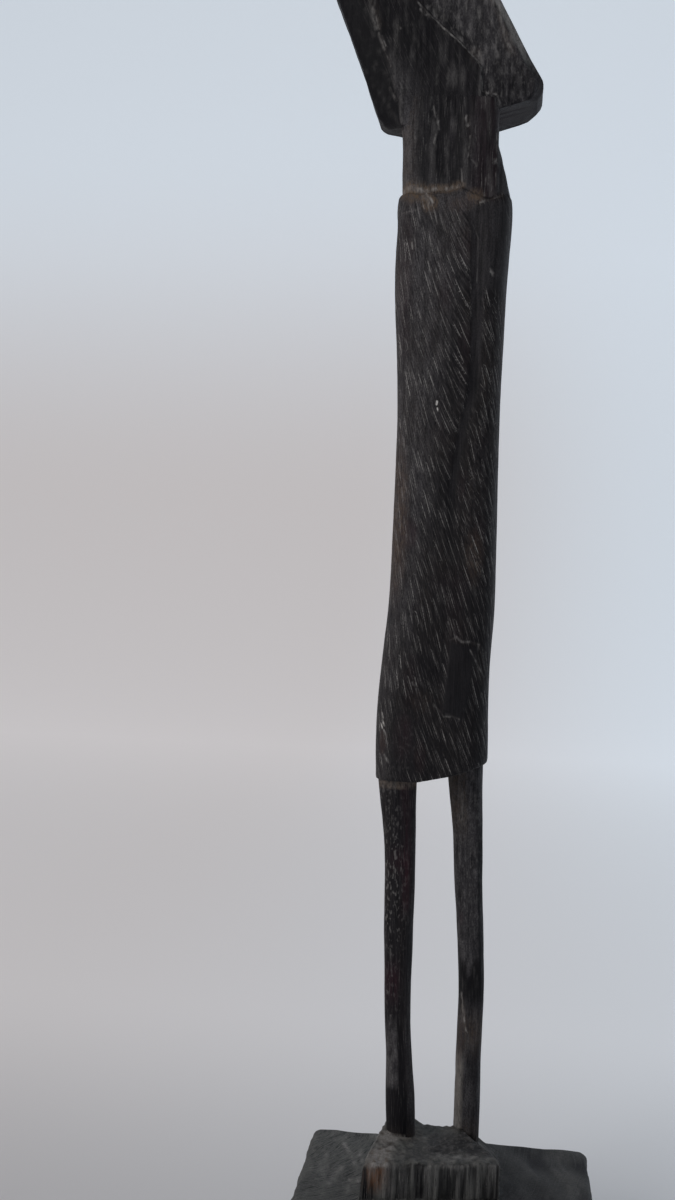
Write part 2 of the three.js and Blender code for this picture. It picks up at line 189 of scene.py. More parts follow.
def noise(points, size, seed):
    """Smooth noise from -1 to 1, with lumps of about that size each way"""
    p = points / np.asarray(size, float) + seed * 17.31
    cell = np.floor(p).astype(np.int64)
    f = p - cell
    f = f * f * (3 - 2 * f)
    total = np.zeros(len(points))
    for corner in itertools.product((0, 1), repeat=3):
        c = cell + np.array(corner)
        h = (c[:, 0] * 374761393 + c[:, 1] * 668265263 + c[:, 2] * 1442695041 + seed * 974711) & 0xFFFFFFFF
        h = ((h ^ (h >> 13)) * 1274126177) & 0xFFFFFFFF
        value = ((h ^ (h >> 16)) & 0xFFFF) / 32767.5 - 1
        total += value * np.prod(np.where(corner, f, 1 - f), axis=1)
    return total


def path_distance(x, z, path):
    """Distance of points to a line through (x, z) pairs"""
    path = np.asarray(path, float)
    best = np.full(len(x), 1e9)
    for a, b in zip(path[:-1], path[1:]):
        step = b - a
        t = unit(((x - a[0]) * step[0] + (z - a[1]) * step[1]) / (step @ step))
        best = np.minimum(best, np.hypot(x - a[0] - t * step[0], z - a[1] - t * step[1]))
    return best


# Meshes as (points, faces)


def turns(count):
    """Even steps all the way round"""
    return np.linspace(0, 2 * math.pi, count, endpoint=False)


def places(x, y, z):
    return np.stack(np.broadcast_arrays(x, y, z), -1)


def tube(rings):
    """Closed rings of points, each with the same number, walled between and capped at both ends"""
    count, columns = rings.shape[:2]
    i = np.arange(count - 1)[:, None] * columns
    j = np.arange(columns)[None, :]
    k = (j + 1) % columns
    walls = np.stack([i + j, i + k, i + columns + k, i + columns + j], -1).reshape(-1, 4).tolist()
    foot = list(range(columns))[::-1]
    head = list(range((count - 1) * columns, count * columns))
    return rings.reshape(-1, 3), walls + [foot, head]


def rim(grid):
    """The outer edge of a grid, all the way round"""
    return np.concatenate([grid[:-1, 0], grid[-1, :-1], grid[:0:-1, -1], grid[0, :0:-1]])


def tub(top, sides):
    """A grid of points for a top, rings that go down from its rim, and a flat foot"""
    index = np.arange(top[..., 0].size).reshape(top.shape[:2])
    quads = np.stack([index[:-1, :-1], index[1:, :-1], index[1:, 1:], index[:-1, 1:]], -1)
    faces = quads.reshape(-1, 4).tolist()
    upper = rim(index)
    for number in range(len(sides)):
        lower = index.size + number * len(upper) + np.arange(len(upper))
        faces += np.stack([lower, np.roll(lower, -1), np.roll(upper, -1), upper], -1).tolist()
        upper = lower
    return np.concatenate([top.reshape(-1, 3), *sides]), faces + [upper[::-1].tolist()]


# Robe. Its columns lean as the tool's strokes do, so that each stroke runs along them. The girth and
# the step between rings are in millimetres
ROBE_COLUMNS = 206
ROBE_RING_STEP = 1.12
STROKE_LEAN = math.radians(21)
NEAR_DENSITY = 0.42
ROBE_GIRTH = 121


def robe_share(p):
    """Turns even steps round the robe into steps that are finer on its right side, at a share of 0.25"""
    return p - NEAR_DENSITY / (2 * math.pi) * np.sin(2 * math.pi * (p - 0.25))


def robe_angle_table():
    """Angle round the oval against the share of the girth"""
    angle = np.linspace(0, 2 * math.pi, 2000)
    x, y = oval(angle, -22.8, 13.4, 13.7, ROBE_SQUARENESS)
    length = np.concatenate([[0], np.cumsum(np.hypot(np.diff(x), np.diff(y)))])
    return length / length[-1], angle


SHARE_TABLE, ANGLE_TABLE = robe_angle_table()


def robe_surface(share, z, inset=0):
    angle = np.interp(share % 1, SHARE_TABLE, ANGLE_TABLE)
    back = along(ROBE, z, 1) + inset
    front = along(ROBE, z, 2) - inset
    return oval(angle, back, front, along(ROBE, z, 3) - inset, ROBE_SQUARENESS)


def robe():
    levels = np.linspace(ROBE_FOOT, ROBE_TOP, round((ROBE_TOP - ROBE_FOOT) / ROBE_RING_STEP))
    foot = [(ROBE_FOOT, inset) for inset in (9, 5, 2.6, 1.2, 0.45)] + [(ROBE_FOOT + 0.25, 0.12)]
    top = [(ROBE_TOP - fallen, inset) for fallen, inset in ((0.5, 0.25), (0.1, 0.7), (0, 1.5), (0.2, 3.5))]
    columns = np.arange(ROBE_COLUMNS) / ROBE_COLUMNS
    turn = math.tan(STROKE_LEAN) / ROBE_GIRTH / (1 - NEAR_DENSITY)
    rings = []
    for z, inset in foot + [(z, 0) for z in levels[1:-1]] + top:
        share = robe_share((columns + (ROBE_TOP - z) * turn) % 1)
        x, y = robe_surface(share, z, inset)
        edge = np.where(y < 0, straight(NECKLINE, x), lerp(LEFT_EDGE, NECKLINE[-1, 1], smooth(x, 0, 12)))
        lift = straight(HEM, x) * fall(z, ROBE_FOOT, ROBE_FOOT + HEM_FADE)
        rings.append(places(x, y, z + lift + (edge - ROBE_TOP) * smooth(z, EDGE_START, ROBE_TOP)))
    return tube(np.array(rings))


def neck():
    # Rings close together where the neck steps back under the chin
    levels = np.concatenate([np.linspace(350, 387.6, 34), [388, 388.5], np.linspace(389.5, 403, 12)])
    angle = turns(NECK_COLUMNS)
    ovals = (oval(angle, *(straight(NECK, z, column) for column in (1, 2, 3, 4))) for z in levels)
    return tube(np.array([places(x, y, z) for (x, y), z in zip(ovals, levels)]))


def leg(table, offset):
    rings = []
    for z in np.linspace(table[0, 0], table[-1, 0], LEG_RINGS):
        x, y = oval(turns(LEG_COLUMNS), along(table, z, 1), along(table, z, 2), LEG_HALF, LEG_SQUARENESS)
        rings.append(places(x, y + offset, z))
    return tube(np.array(rings))


# Face, all as heights w and half widths on the flat front of the head
MOUTH = Sizes(w=20, half=5.2, lip=3.1)
NOSE = Sizes(foot=33, head=57, foot_half=3.7, head_half=1.5, side=1.5)
EYE = Sizes(w=51, v=5.1, half=3.1, lid=2.1, proud=1.5)
BROW = 58.5
CHEEK_DEPTH = 2.3
EAR = Sizes(u=-6.5, w=56.8, length=7, width=7.4, proud=1.4)
EAR_RINGS, EAR_COLUMNS = 22, 36


def face_hollow(v, w, half):
    """How deep the face is cut at a place: beside the nose, round the lids and round the lips"""
    a = np.abs(v)
    rim = fall(a, half * 0.78, half * 0.97)
    tall = smooth(w, NOSE.foot - 5, NOSE.foot + 1) * fall(w, BROW - 2.5, BROW)
    rise = unit((w - NOSE.foot) / (NOSE.head - NOSE.foot))
    nose_half = lerp(NOSE.foot_half, NOSE.head_half, rise)
    beside = np.where(w < NOSE.foot - 1, 1, smooth(a, nose_half * 0.75, nose_half + NOSE.side))
    cheeks = CHEEK_DEPTH * rim * tall * beside
    wing = 0.55 * bump(np.hypot(a - 3.1, (w - 35.5) * 0.8), 0, 1.8)
    nostril = 0.9 * bump(np.hypot(a - 1.7, (w - 33) * 1.4), 0, 1.2)
    across, up = (a - EYE.v) / EYE.half, (w - EYE.w) / EYE.lid
    lid = EYE.proud * np.sqrt(unit(1 - across**2 - up**2))
    slit = 0.6 * bump(w - EYE.w + 0.35 + 0.5 * across**2, 0, 0.7) * (np.abs(across) < 0.9)
    around = (a / (MOUTH.half + 2.2)) ** 2 + ((w - MOUTH.w) / (MOUTH.lip + 3.4)) ** 2
    lips = (a / MOUTH.half) ** 2 + ((w - MOUTH.w) / MOUTH.lip) ** 2
    hollow = np.clip(1.6 * (1 - around), 0, 1.2) * smooth(lips, 0.7, 1.3)
    between = 1 * bump(w - MOUTH.w - 0.25 * np.cos(a * 1.1), 0, 0.9) * fall(a, 3.8, 5)
    philtrum = 0.35 * bump(a, 0, 1) * bump(w, 27, 4)
    return cheeks - wing + nostril - lid * tall + slit + hollow + between + philtrum


# Steps of a half section of the head, and how many columns each has on the right and on the left side
HEAD_STEPS = [
    ("back", 5, 5),
    ("back chamfer", 9, 7),
    ("side", 36, 20),
    ("jaw", 3, 3),
    ("cheek", 28, 16),
    ("front chamfer", 7, 5),
    ("face", 22, 22),
]


def above_hair(level):
    return smooth(level, HAIR_LEVEL - 0.6, HAIR_LEVEL + 0.6)


def head_section(step, t, w, level):
    back, front = straight(HEAD_BACK, w), straight(HEAD_FRONT, w)
    edge, jaw = straight(BACK_EDGE, w), straight(JAW_LINE, w)
    face_half = straight(FACE_HALF, w)
    cheek = HEAD_HALF - JAW_STEP * (1 - above_hair(level))
    ends = {
        "back": (back, 0, back, BACK_HALF),
        "back chamfer": (back, BACK_HALF, edge, HEAD_HALF),
        "side": (edge, HEAD_HALF, jaw, HEAD_HALF),
        "jaw": (jaw, HEAD_HALF, jaw + 0.7, cheek),
        "cheek": (jaw + 0.7, cheek, front - FACE_CHAMFER, cheek - 0.3),
        "front chamfer": (front - FACE_CHAMFER, cheek - 0.3, front, face_half),
        "face": (front, face_half, front, 0 * face_half),
    }[step]
    u, v = lerp(ends[0], ends[2], t), lerp(ends[1], ends[3], t)
    if step == "face":
        u = u - face_hollow(v, w, face_half)
    return u, v


def from_head(u, v, w):
    c, s = math.cos(HEAD_TILT), math.sin(HEAD_TILT)
    return places(HEAD_FOOT[0] + u * c - w * s, v, HEAD_FOOT[1] + u * s + w * c)


def to_head(points):
    c, s = math.cos(HEAD_TILT), math.sin(HEAD_TILT)
    x, z = points[:, 0] - HEAD_FOOT[0], points[:, 2] - HEAD_FOOT[1]
    return x * c + z * s, points[:, 1], z * c - x * s


def head_point(step, t, side, level):
    fade = unit(1 - level / UNDERSIDE_FADE)
    guess, across = head_section(step, t, level, level)
    near_hair = fall(np.abs(level - HAIR_LEVEL), 1, HAIR_BAND)
    sheer = (straight(HAIR_LINE, guess) - HAIR_LEVEL) * near_hair
    roll = NAPE_ROLL * (1 + side * across / HEAD_HALF) / 2 * fall(guess, -16, -7)
    w = level + (straight(UNDERSIDE, guess) - roll) * fade + sheer
    u, v = head_section(step, t, w, level)
    hair = HAIR_PROUD * above_hair(level)
    crown = unit((level - CROWN_START) / (HEAD_TOP - CROWN_START))
    shrink = (1 - crown**2.5) ** (1 / 2.2)
    foot = FOOT_ROUND * (1 - unit(level / FOOT_RISE)) ** 2
    u = 1 + (u - 1) * (1 + (hair - foot) / 26) * shrink
    v = v * (1 + (hair - foot) / HEAD_HALF) * shrink**0.8
    return from_head(u, -side * v, w)


def head():
    low = np.concatenate([[0.15, 0.45], np.arange(0.95, 62, 0.95)])
    hair = np.concatenate([[64, 66, 67.1, 67.7, 68.3, 68.9], np.arange(70, 90, 1.1)])
    crown = [91.2, 92.4, 93.6, 94.8, 95.9, 96.9, 97.8, 98.6, 99.2, 99.6, 99.85]
    levels = np.concatenate([[0], low, hair, crown])
    rings = []
    for level in levels:
        halves = []
        for side in (1, -1):
            row = []
            for name, right, left in HEAD_STEPS:
                count = right if side > 0 else left
                t = np.arange(count) / count
                row.append(head_point(name, t, side, level))
            row = np.concatenate(row + [head_point("face", np.ones(1), side, level)])
            halves.append(row if side > 0 else row[::-1][1:-1])
        rings.append(np.concatenate(halves))
    rings = np.array(rings)
    soft = (np.roll(rings, 1, 1) + np.roll(rings, -1, 1)) / 2
    rings = lerp(rings, soft, 0.35)
    middle = np.mean(rings[0], axis=0)
    inner = [lerp(rings[0], middle, t)[None] for t in (0.9, 0.72, 0.55, 0.4, 0.27, 0.16, 0.07)]
    return tube(np.concatenate(inner[::-1] + [rings]))


def ear(side):
    angle = turns(EAR_COLUMNS)
    rings = []
    for rise in np.linspace(-math.pi / 2 + 0.1, math.pi / 2 - 0.1, EAR_RINGS):
        u = EAR.u + math.cos(rise) * np.cos(angle) * EAR.width / 2 - math.sin(rise) * 0.6
        w = EAR.w + math.sin(rise) * EAR.length + 0 * angle
        v = side * (HEAD_HALF - 0.4) + math.cos(rise) * np.sin(angle) * (EAR.proud + 0.4)
        rings.append(from_head(u, v, w))
    return tube(np.array(rings))


# Base
def tool_cut(x, y):
    """Uneven cuts of the tool in the base"""
    return TOOL_WAVE * (np.sin(0.21 * x + 0.6) * np.cos(0.17 * y + 1.1) + 0.5 * np.sin(0.47 * x + 0.31 * y))


def spread(low, high, step, radius):
    """Steps across a face, close together over its rounded edges"""
    edge = radius * (1 - np.cos(np.linspace(0, math.pi / 2, 5)))
    middle = np.linspace(low + radius, high - radius, round((high - low) / step))
    return np.concatenate([low + edge[:-1], middle, (high - edge[:-1])[::-1]])


def round_plan(x, y, box, radius):
    """Pulls the corners of a rectangle in to arcs"""
    cx = np.clip(x, box[0] + radius, box[1] - radius)
    cy = np.clip(y, box[2] + radius, box[3] - radius)
    dx, dy = x - cx, y - cy
    reach = np.hypot(dx, dy)
    scale = np.where(reach > 1e-9, np.maximum(np.abs(dx), np.abs(dy)) / np.maximum(reach, 1e-9), 1)
    return cx + dx * scale, cy + dy * scale


def within(x, y, box):
    """How far inside a rectangle a place lies"""
    return np.minimum(np.minimum(x - box[0], box[1] - x), np.minimum(y - box[2], box[3] - y))


def edge_drop(x, y, box, radius):
    """How far a rounded top edge falls at a place"""
    d = np.clip(radius - within(x, y, box), 0, radius)
    return radius - np.sqrt(radius**2 - d**2)


def slab():
    across, deep = (spread(*ends, SLAB_GRID, SLAB.round) for ends in (SLAB_BOX[:2], SLAB_BOX[2:]))
    x, y = np.meshgrid(across, deep, indexing="ij")
    z = SLAB.height + tool_cut(x, y) - edge_drop(x, y, SLAB_BOX, SLAB.round)
    top = places(*round_plan(x, y, SLAB_BOX, SLAB.corner), z)
    return tub(top, [rim(top) * (1, 1, share) for share in (*np.linspace(0.92, 0.12, 11), 0.05, 0)])


def block_plan(a, b, z):
    """Places in plan at a height, from shares across and from front to back"""
    above = z - SLAB.height
    left = BLOCK.left + above * BLOCK_SLOPE.left + smooth(b, 0, 1) * 5
    right = BLOCK.right + (1 - above * BLOCK_SLOPE.right) * smooth(b, 0, 1)
    x = lerp(left, right, a)
    front = BLOCK.front + (x - BLOCK.left) * BLOCK.skew
    return x, lerp(front, BLOCK.back - above * BLOCK_SLOPE.back, b)


def block():
    across, deep = (spread(0, 1, 1 / steps, BLOCK_EDGE) for steps in BLOCK_STEPS)
    a, b = np.meshgrid(across, deep, indexing="ij")
    x, y = block_plan(a, b, BLOCK.top)
    drop = edge_drop(a * BLOCK.deep, b * BLOCK.deep, (0, BLOCK.deep) * 2, BLOCK.round)
    mound = MOUND_RISE * (1 - 1.25 * smooth(x, -12, -3) + 0.5 * smooth(x, 2, 9)) * smooth(b, 0.15, 0.9)
    ragged = np.sin(0.9 * x) + 0.7 * np.sin(1.7 * x + 1) + 0.5 * np.sin(3.1 * x + 2)
    top = places(x, y, BLOCK.top + mound + tool_cut(x, y) * 0.6 - drop + 0.3 * ragged * fall(b, 0.02, 0.16))
    sides = []
    for share in np.linspace(0.94, 0, 16):
        z = lerp(BLOCK.root, rim(top)[:, 2], share)
        sides.append(places(*block_plan(rim(a), rim(b), z), z))
    return tub(top, sides)


# Surface marks, with their places as (X, height)


def robe_middle(z):
    return (along(ROBE, z, 1) + along(ROBE, z, 2)) / 2


# The smooth band down the sleeve: height and X of its two edges
BAND = np.array([
    (235, -3, -1.6), (250, -2.6, -0.6), (260, -2.4, -0.4), (273, -0.9, 1.6), (283, 1.1, 3.7),
    (291, 2.8, 5.7), (308, 2.9, 6.3), (324, 2.3, 6.2), (343, 1.6, 5.6), (351, 0.6, 4.6),
])
# Smooth places: left, right, low, high, and how soft their edges are
UPPER_PATCH = (3.6, 13.8, 323, 353, 2)
LOWER_PATCH = (-19.4, -10.8, 163, 184, 2)
HAND = Sizes(top=207, length=25.5, back=-0.6, width=9.6, lean=0.09, slant=0.2, proud=0.35)


def patch(x, z, place):
    left, right, low, high, soft = place
    across = smooth(x, left - soft / 2, left + soft / 2) * fall(x, right - soft / 2, right + soft / 2)
    return across * smooth(z, low - soft, low + soft) * fall(z, high - soft, high + soft)


def band(x, z):
    left, right = straight(BAND, z, 1), straight(BAND, z, 2)
    across = smooth(x, left - 0.3, left + 0.3) * fall(x, right - 0.3, right + 0.5)
    return across * smooth(z, 236, 262) * fall(z, 349, 354)


def sleeve_groove(x, z):
    """How deep the hollow behind the arm is"""
    left, right = straight(BAND, z, 1), straight(BAND, z, 2)
    floor = (left + right) / 2
    deep = lerp(0.3, 0.65, smooth(z, 236, 275)) * smooth(z, 190, 236) * fall(z, 340, 354)
    return smooth(x, left - 1.2, floor) * fall(x, floor, right + 2.6) * deep


def hand_place(x, z):
    """Place within the hand, across from its back edge and down from its top, each from 0 to 1"""
    across = (x - HAND.back + (HAND.top - z) * HAND.lean) / HAND.width
    down = (HAND.top - z - HAND.slant * across * HAND.width) / HAND.length
    return across, down


def hand(x, z):
    across, down = hand_place(x, z)
    narrow = 0.2 * smooth(down, 0.6, 1)
    sides = smooth(across, -0.05 + narrow * 0.3, 0.1) * fall(across, 0.82 - narrow, 1.02 - narrow)
    return sides * smooth(down, 0, 0.03) * fall(down, 0.96, 1)


# Strokes of the gouge all over the robe: lowest, usual and highest values, or lowest and highest
BOLD = Sizes(count=1500, pitch=1.5, length=(4, 8, 15), depth=(0.14, 0.38), half=(0.4, 0.7))
FAINT = Sizes(count=2300, pitch=0.95, length=(3, 7, 12), depth=(0.05, 0.14), half=(0.35, 0.5))
BOLD.dust = (0.25, 0.7, 1.5)
FAINT.dust = (0, 0.1, 0.2)
# How far aside of a stroke the bare wood counts as, tries for each stroke, and steps each way along one
FAR_ASIDE = 0.62
STROKE_TRIES = 6
STROKE_STEPS = 4


def stroke_lean(around, z):
    """The strokes' lean from upright: less at the back, more before the band, and hooked at its edge"""
    x = around + robe_middle(z)
    edge = straight(BAND, z, 1)
    high = smooth(z, 240, 285)
    lean = 12 + 9 * smooth(x, -23, -9) + 7 * smooth(x, -9, 1) * high
    lean += 9 * np.exp(-np.clip(edge - x, 0, 99) / 2) * smooth(z, 248, 268)
    lean = np.where(x > edge, lerp(21, 19, high), lean)
    return np.radians(lerp(lean, 22, smooth(np.abs(around), 16, 22)))


def stroke_stream(around, z):
    """Where the line of strokes through each point meets the robe's top, so that a pattern can follow it"""
    around, level = around.copy(), z.copy()
    while level.min() < ROBE_TOP - 0.01:
        rise = np.minimum(ROBE_TOP - level, 4)
        around -= np.tan(stroke_lean(around, level)) * rise
        level += rise
    return around


def girth_gap(a, b):
    """How far one place round the robe lies from another, the short way"""
    return (a - b + ROBE_GIRTH / 2) % ROBE_GIRTH - ROBE_GIRTH / 2


def throw_strokes(kind):
    """Places strokes at random, each clear of its neighbours by about the pitch"""
    table = np.zeros((kind.count, 4))
    kept = 0
    for _ in range(kind.count * STROKE_TRIES):
        around = rng.uniform(-ROBE_GIRTH / 2, ROBE_GIRTH / 2)
        z = rng.uniform(ROBE_FOOT + 1, ROBE_TOP - 2)
        length = rng.triangular(*kind.length)
        lean = float(stroke_lean(around, z))
        gap = kind.pitch * rng.uniform(0.85, 1.3)
        have = table[:kept]
        rise = have[:, 1] - z
        aside = girth_gap(have[:, 0], around) + np.tan((have[:, 3] + lean) / 2) * rise
        beside = np.abs(rise) < (have[:, 2] + length) * 0.46 + 0.6
        if np.any(beside & (np.abs(aside) * math.cos(lean) < gap)):
            continue
        table[kept] = around, z, length, lean
        kept += 1
        if kept == kind.count:
            break
    return table[:kept, :3]


def cut_strokes(around, z, strokes, kind):
    """Depth of strokes at the robe's points, how pale the nearest one is, and how far aside it lies"""
    order = np.argsort(z)
    ranked = z[order]
    cut, dust, beside = np.zeros(len(z)), np.zeros(len(z)), np.full(len(z), FAR_ASIDE)
    for middle, level, length in strokes:
        turn = np.radians(rng.normal(0, 2.2))
        deep, wide = rng.uniform(*kind.depth), rng.uniform(*kind.half)
        pale = rng.triangular(*kind.dust)
        path_z = level + np.linspace(0.5, -0.5, 2 * STROKE_STEPS + 1) * length
        path_a = np.full(2 * STROKE_STEPS + 1, middle)
        for way in (-1, 1):
            for i in range(STROKE_STEPS + way, STROKE_STEPS + way * (STROKE_STEPS + 1), way):
                lean = stroke_lean(path_a[i - way], path_z[i - way]) + turn
                path_a[i] = path_a[i - way] + way * math.tan(lean) * length / (2 * STROKE_STEPS)
        near = order[np.searchsorted(ranked, path_z[-1]) : np.searchsorted(ranked, path_z[0])]
        if not len(near):
            continue
        aside = girth_gap(around[near], np.interp(z[near], path_z[::-1], path_a[::-1]))
        close = np.abs(aside) < 2
        near, aside = near[close], aside[close] * math.cos(STROKE_LEAN)
        t = (path_z[0] - z[near]) / length
        taper = smooth(t, 0, 0.25) * fall(t, 0.7, 1)
        cut[near] = np.maximum(cut[near], deep * taper * unit(1 - np.abs(aside) / wide))
        nearer = np.abs(aside) < np.abs(beside[near])
        beside[near[nearer]] = aside[nearer]
        dust[near[nearer]] = pale * taper[nearer]
    return cut, dust, beside


# Single marks: path, half width, depth, pale dust, warm dust
MARKS = [
    ([(-21.3, 357.1), (-19.1, 357.6), (-15.5, 356.6)], 1.5, 0.1, 0.55, 2),
    ([(-15.5, 357.2), (-12.7, 354.2), (-11.3, 352.2)], 0.65, 0.15, 0.75, 1.4),
    ([(-14.2, 354.4), (-12.6, 351.4)], 1.4, 0.05, 0.4, 1),
    ([(-15.4, 356.2), (-10.8, 357), (-6.5, 357), (-2.2, 358.2)], 0.95, 0.1, 0.6, 2),
    ([(4.3, 352.1), (8.5, 353.9), (11.4, 355.1)], 0.5, 0.15, 0.5, 0.2),
    ([(-21.5, 349.3), (-17.2, 349.6), (-13.9, 351.6)], 0.45, 0.1, 0.3, 0.1),
    ([(2.2, 344.7), (4, 340.7), (4.2, 334.7), (4.1, 326.4)], 0.3, 0.05, 0.2, 0),
    ([(-7.7, 286), (-7.8, 285.2)], 0.55, 0.1, 2, 0),
    ([(-7.5, 283.9), (-7.4, 283.5)], 0.35, 0.05, 1.5, 0),
    ([(-17.9, 338.9), (-17.6, 337)], 0.4, 0.1, 0.7, 0.3),
    ([(8.8, 329.4), (9.2, 329)], 0.75, 0.1, 2, 0),
    ([(-0.3, 207.2), (1.3, 208.3), (3.2, 206.6), (6, 206.7), (8.9, 205.8)], 0.6, 0.2, 0.42, 0.15),
    ([(8.9, 205.8), (8.6, 203.8)], 0.5, 0.1, 0.35, 0),
    ([(-0.3, 207.2), (-0.9, 210.5), (-1.4, 213)], 0.5, 0.15, 0.35, 0),
    ([(-5, 185), (-3.5, 183.5), (-2, 181.7), (0.8, 181.8), (3.2, 181)], 0.55, 0.2, 0.38, 0.1),
    ([(6, 204), (8.6, 199.5), (11.2, 195)], 0.4, 0.25, 0.45, 0),
    ([(-22.6, 181.7), (-22.1, 180.2)], 0.42, 0.2, 1.5, 0),
    ([(-22.3, 179.3), (-21.5, 177.6)], 0.45, 0.2, 1.8, 0),
    ([(-22.9, 178.3), (-22.2, 176.6)], 0.35, 0.2, 1.2, 0),
    ([(-21.7, 176.2), (-21.2, 175)], 0.4, 0.2, 1.3, 0),
    ([(-21.2, 168), (-19.8, 165.2)], 0.4, 0.25, 0.8, 0),
    ([(-12.6, 192.6), (-12.3, 191.6)], 0.4, 0.1, 0.7, 0),
    ([(-12.9, 387.8), (-11.1, 378.7)], 0.4, 0.1, 0.5, 0),
    ([(-11.9, 381.5), (-10.6, 379.7), (-11.8, 372.4)], 0.55, 0.15, 0.6, 0),
    ([(-10.9, 380.5), (-10.2, 376.8)], 0.4, 0.1, 0.7, 0),
    ([(-1.4, 380.6), (-0.7, 378)], 0.55, 0.15, 0.8, 0.2),
    ([(0.2, 374.7), (-0.3, 367.6)], 0.4, 0.1, 0.4, 0.1),
    ([(1.1, 366.6), (2.6, 364.7)], 0.5, 0.15, 0.4, 0),
    ([(-2.3, 363.8), (-1.9, 358.6)], 0.4, 0.1, 0.5, 0),
    ([(9, 376), (9.1, 366), (9.3, 358)], 0.3, 0, 0.5, 0.1),
    ([(-18.4, 419.5), (-15.8, 416.1), (-12.8, 414.2)], 0.6, 0.15, 0.6, 0.15),
    ([(-12.8, 414.2), (-9.9, 410.8), (-4, 405.9), (1.9, 399.6), (3.1, 397.7)], 0.5, 0.15, 0.9, 0.15),
    ([(3.1, 397.7), (3.4, 393.5), (3.6, 389.6)], 0.45, 0.1, 0.65, 0),
    ([(5, 401), (4.8, 396)], 0.35, 0.1, 0.35, 0),
    ([(3.6, 389.6), (4.6, 389.3), (8.4, 388.7)], 0.45, 0.1, 0.65, 0.1),
    ([(-34.7, 419.7), (-33.5, 415.7), (-32.2, 411.8)], 1.5, 0.1, 0.3, 0.35),
    ([(-33.6, 417.5), (-32.8, 415), (-31.4, 411)], 0.5, 0.1, 0.55, 0.3),
    ([(-31.6, 409.5), (-30.4, 406.4), (-29.5, 403.9)], 0.6, 0.1, 0.4, 0.2),
    ([(-30.4, 408.6), (-29, 405.2)], 0.35, 0.1, 0.45, 0.1),
    ([(-28.4, 401.8), (-27.3, 398.4)], 0.5, 0.1, 0.26, 0.15),
    ([(-27.5, 391.7), (-24.9, 387)], 0.6, 0.1, 0.3, 0.15),
    ([(-25.4, 412), (-24.2, 410.9)], 0.5, 0.05, 0.4, 0.1),
    ([(-17.2, 417.2), (-15.8, 415.8)], 1.1, 0.1, 0.98, 0.1),
    ([(7.5, 419.3), (9.6, 412.3), (10.9, 407), (13, 403)], 0.9, 0.1, 0.45, 0.3),
    ([(4.9, 155.9), (5.5, 151), (5.6, 146)], 0.3, 0.05, 0.25, 0),
    ([(7.1, 85.5), (7.9, 79.5), (8.9, 73.3)], 0.42, 0.15, 0.85, 0.7),
    ([(-17.2, 102.5), (-17, 98), (-16.2, 93.5)], 0.4, 0.1, 0.3, 0),
    ([(-17.9, 88.2), (-17.3, 87.8)], 0.35, 0.05, 0.6, 0),
    ([(-16.4, 80.2), (-16.4, 77.3)], 0.35, 0.05, 0.5, 0),
]
# Soft stains: X, height, reach across, reach up, warm dust, red tint, grey film
STAINS = [
    (-12.3, 352, 3.8, 4.2, 2, 0, 0.9), (-18, 355, 5, 4, 1.2, 0, 0.8),
    (2.6, 354.5, 3.8, 3.6, 1.9, 0.3, 1), (-2, 351.5, 6, 4, 0.3, 0.2, 0.6),
    (-20, 247, 5.5, 34, 0.85, 0.45, 0.4), (-15, 242, 3.5, 7, 0, 0.4, 0),
    (6.5, 235, 4, 12, 0.7, 0.15, 0), (-22, 172, 2, 6, 0.3, 0.4, 0),
    (-9.5, 186, 4.5, 5, 0.3, 0.1, 0.2), (-15, 174, 4.5, 11, 0, 0.55, 0.3),
    (-9, 168, 3, 8, 0.1, 0.5, 0), (-22.5, 318, 4, 14, 0, 0, 0.25),
    (1, 402, 3, 3.5, 0.4, 0, 0),
]


def scratches(mark, across, along, strength):
    """Fine scratches that the material draws in a place of its own, across and along them in millimetres"""
    mark.across = across
    mark.along = along
    mark.hatch = strength


def turned(x, y, middle, radius):
    """Distance round an upright part from the middle of its right side"""
    return np.arctan2(x - middle, -y) * radius


# Where the grey film on the robe's right side starts to thin out towards the front, and where it ends. This
# fall is partly painted light: it leaves the back of the side lighter and its front darker
FILM_FALL = np.array([
    (157, -22, -17), (187, -20.5, -15), (201, -20, -9), (215, -18, -8), (232, -17, -4), (249, -15, -2),
    (283, -13, -2), (303, -12, 0), (335, -7, 4), (358, -4, 9),
])
# The dark line that the band leaves below it: height and X
DARK_LINE = np.array([(222, -0.5), (235, -0.6), (250, -1), (266, 0.8), (283, 4.2), (300, 5)])


def robe_film(x, z, right):
    """The grey film of worn dust, partly painted light: it thins out towards the front, painting the side
    lighter at the back and darker at the front, and is strong on the front edge
    """
    wear_and_light = fall(x, straight(FILM_FALL, z, 1), straight(FILM_FALL, z, 2))
    height = lerp(0.45, 0.8, smooth(z, 176, 222)) + 0.2 * smooth(z, 240, 270)
    front = along(ROBE, z, 2)
    film = (lerp(0.14, 1.15, wear_and_light) + 0.55 * smooth(x, front - 3.2, front - 0.8)) * height
    return np.where(right, film, 0.6 * height), wear_and_light


# How far round the robe, from the middle of its right side, that side reaches and the left one starts
RIGHT_REACH, LEFT_START = 24, 36


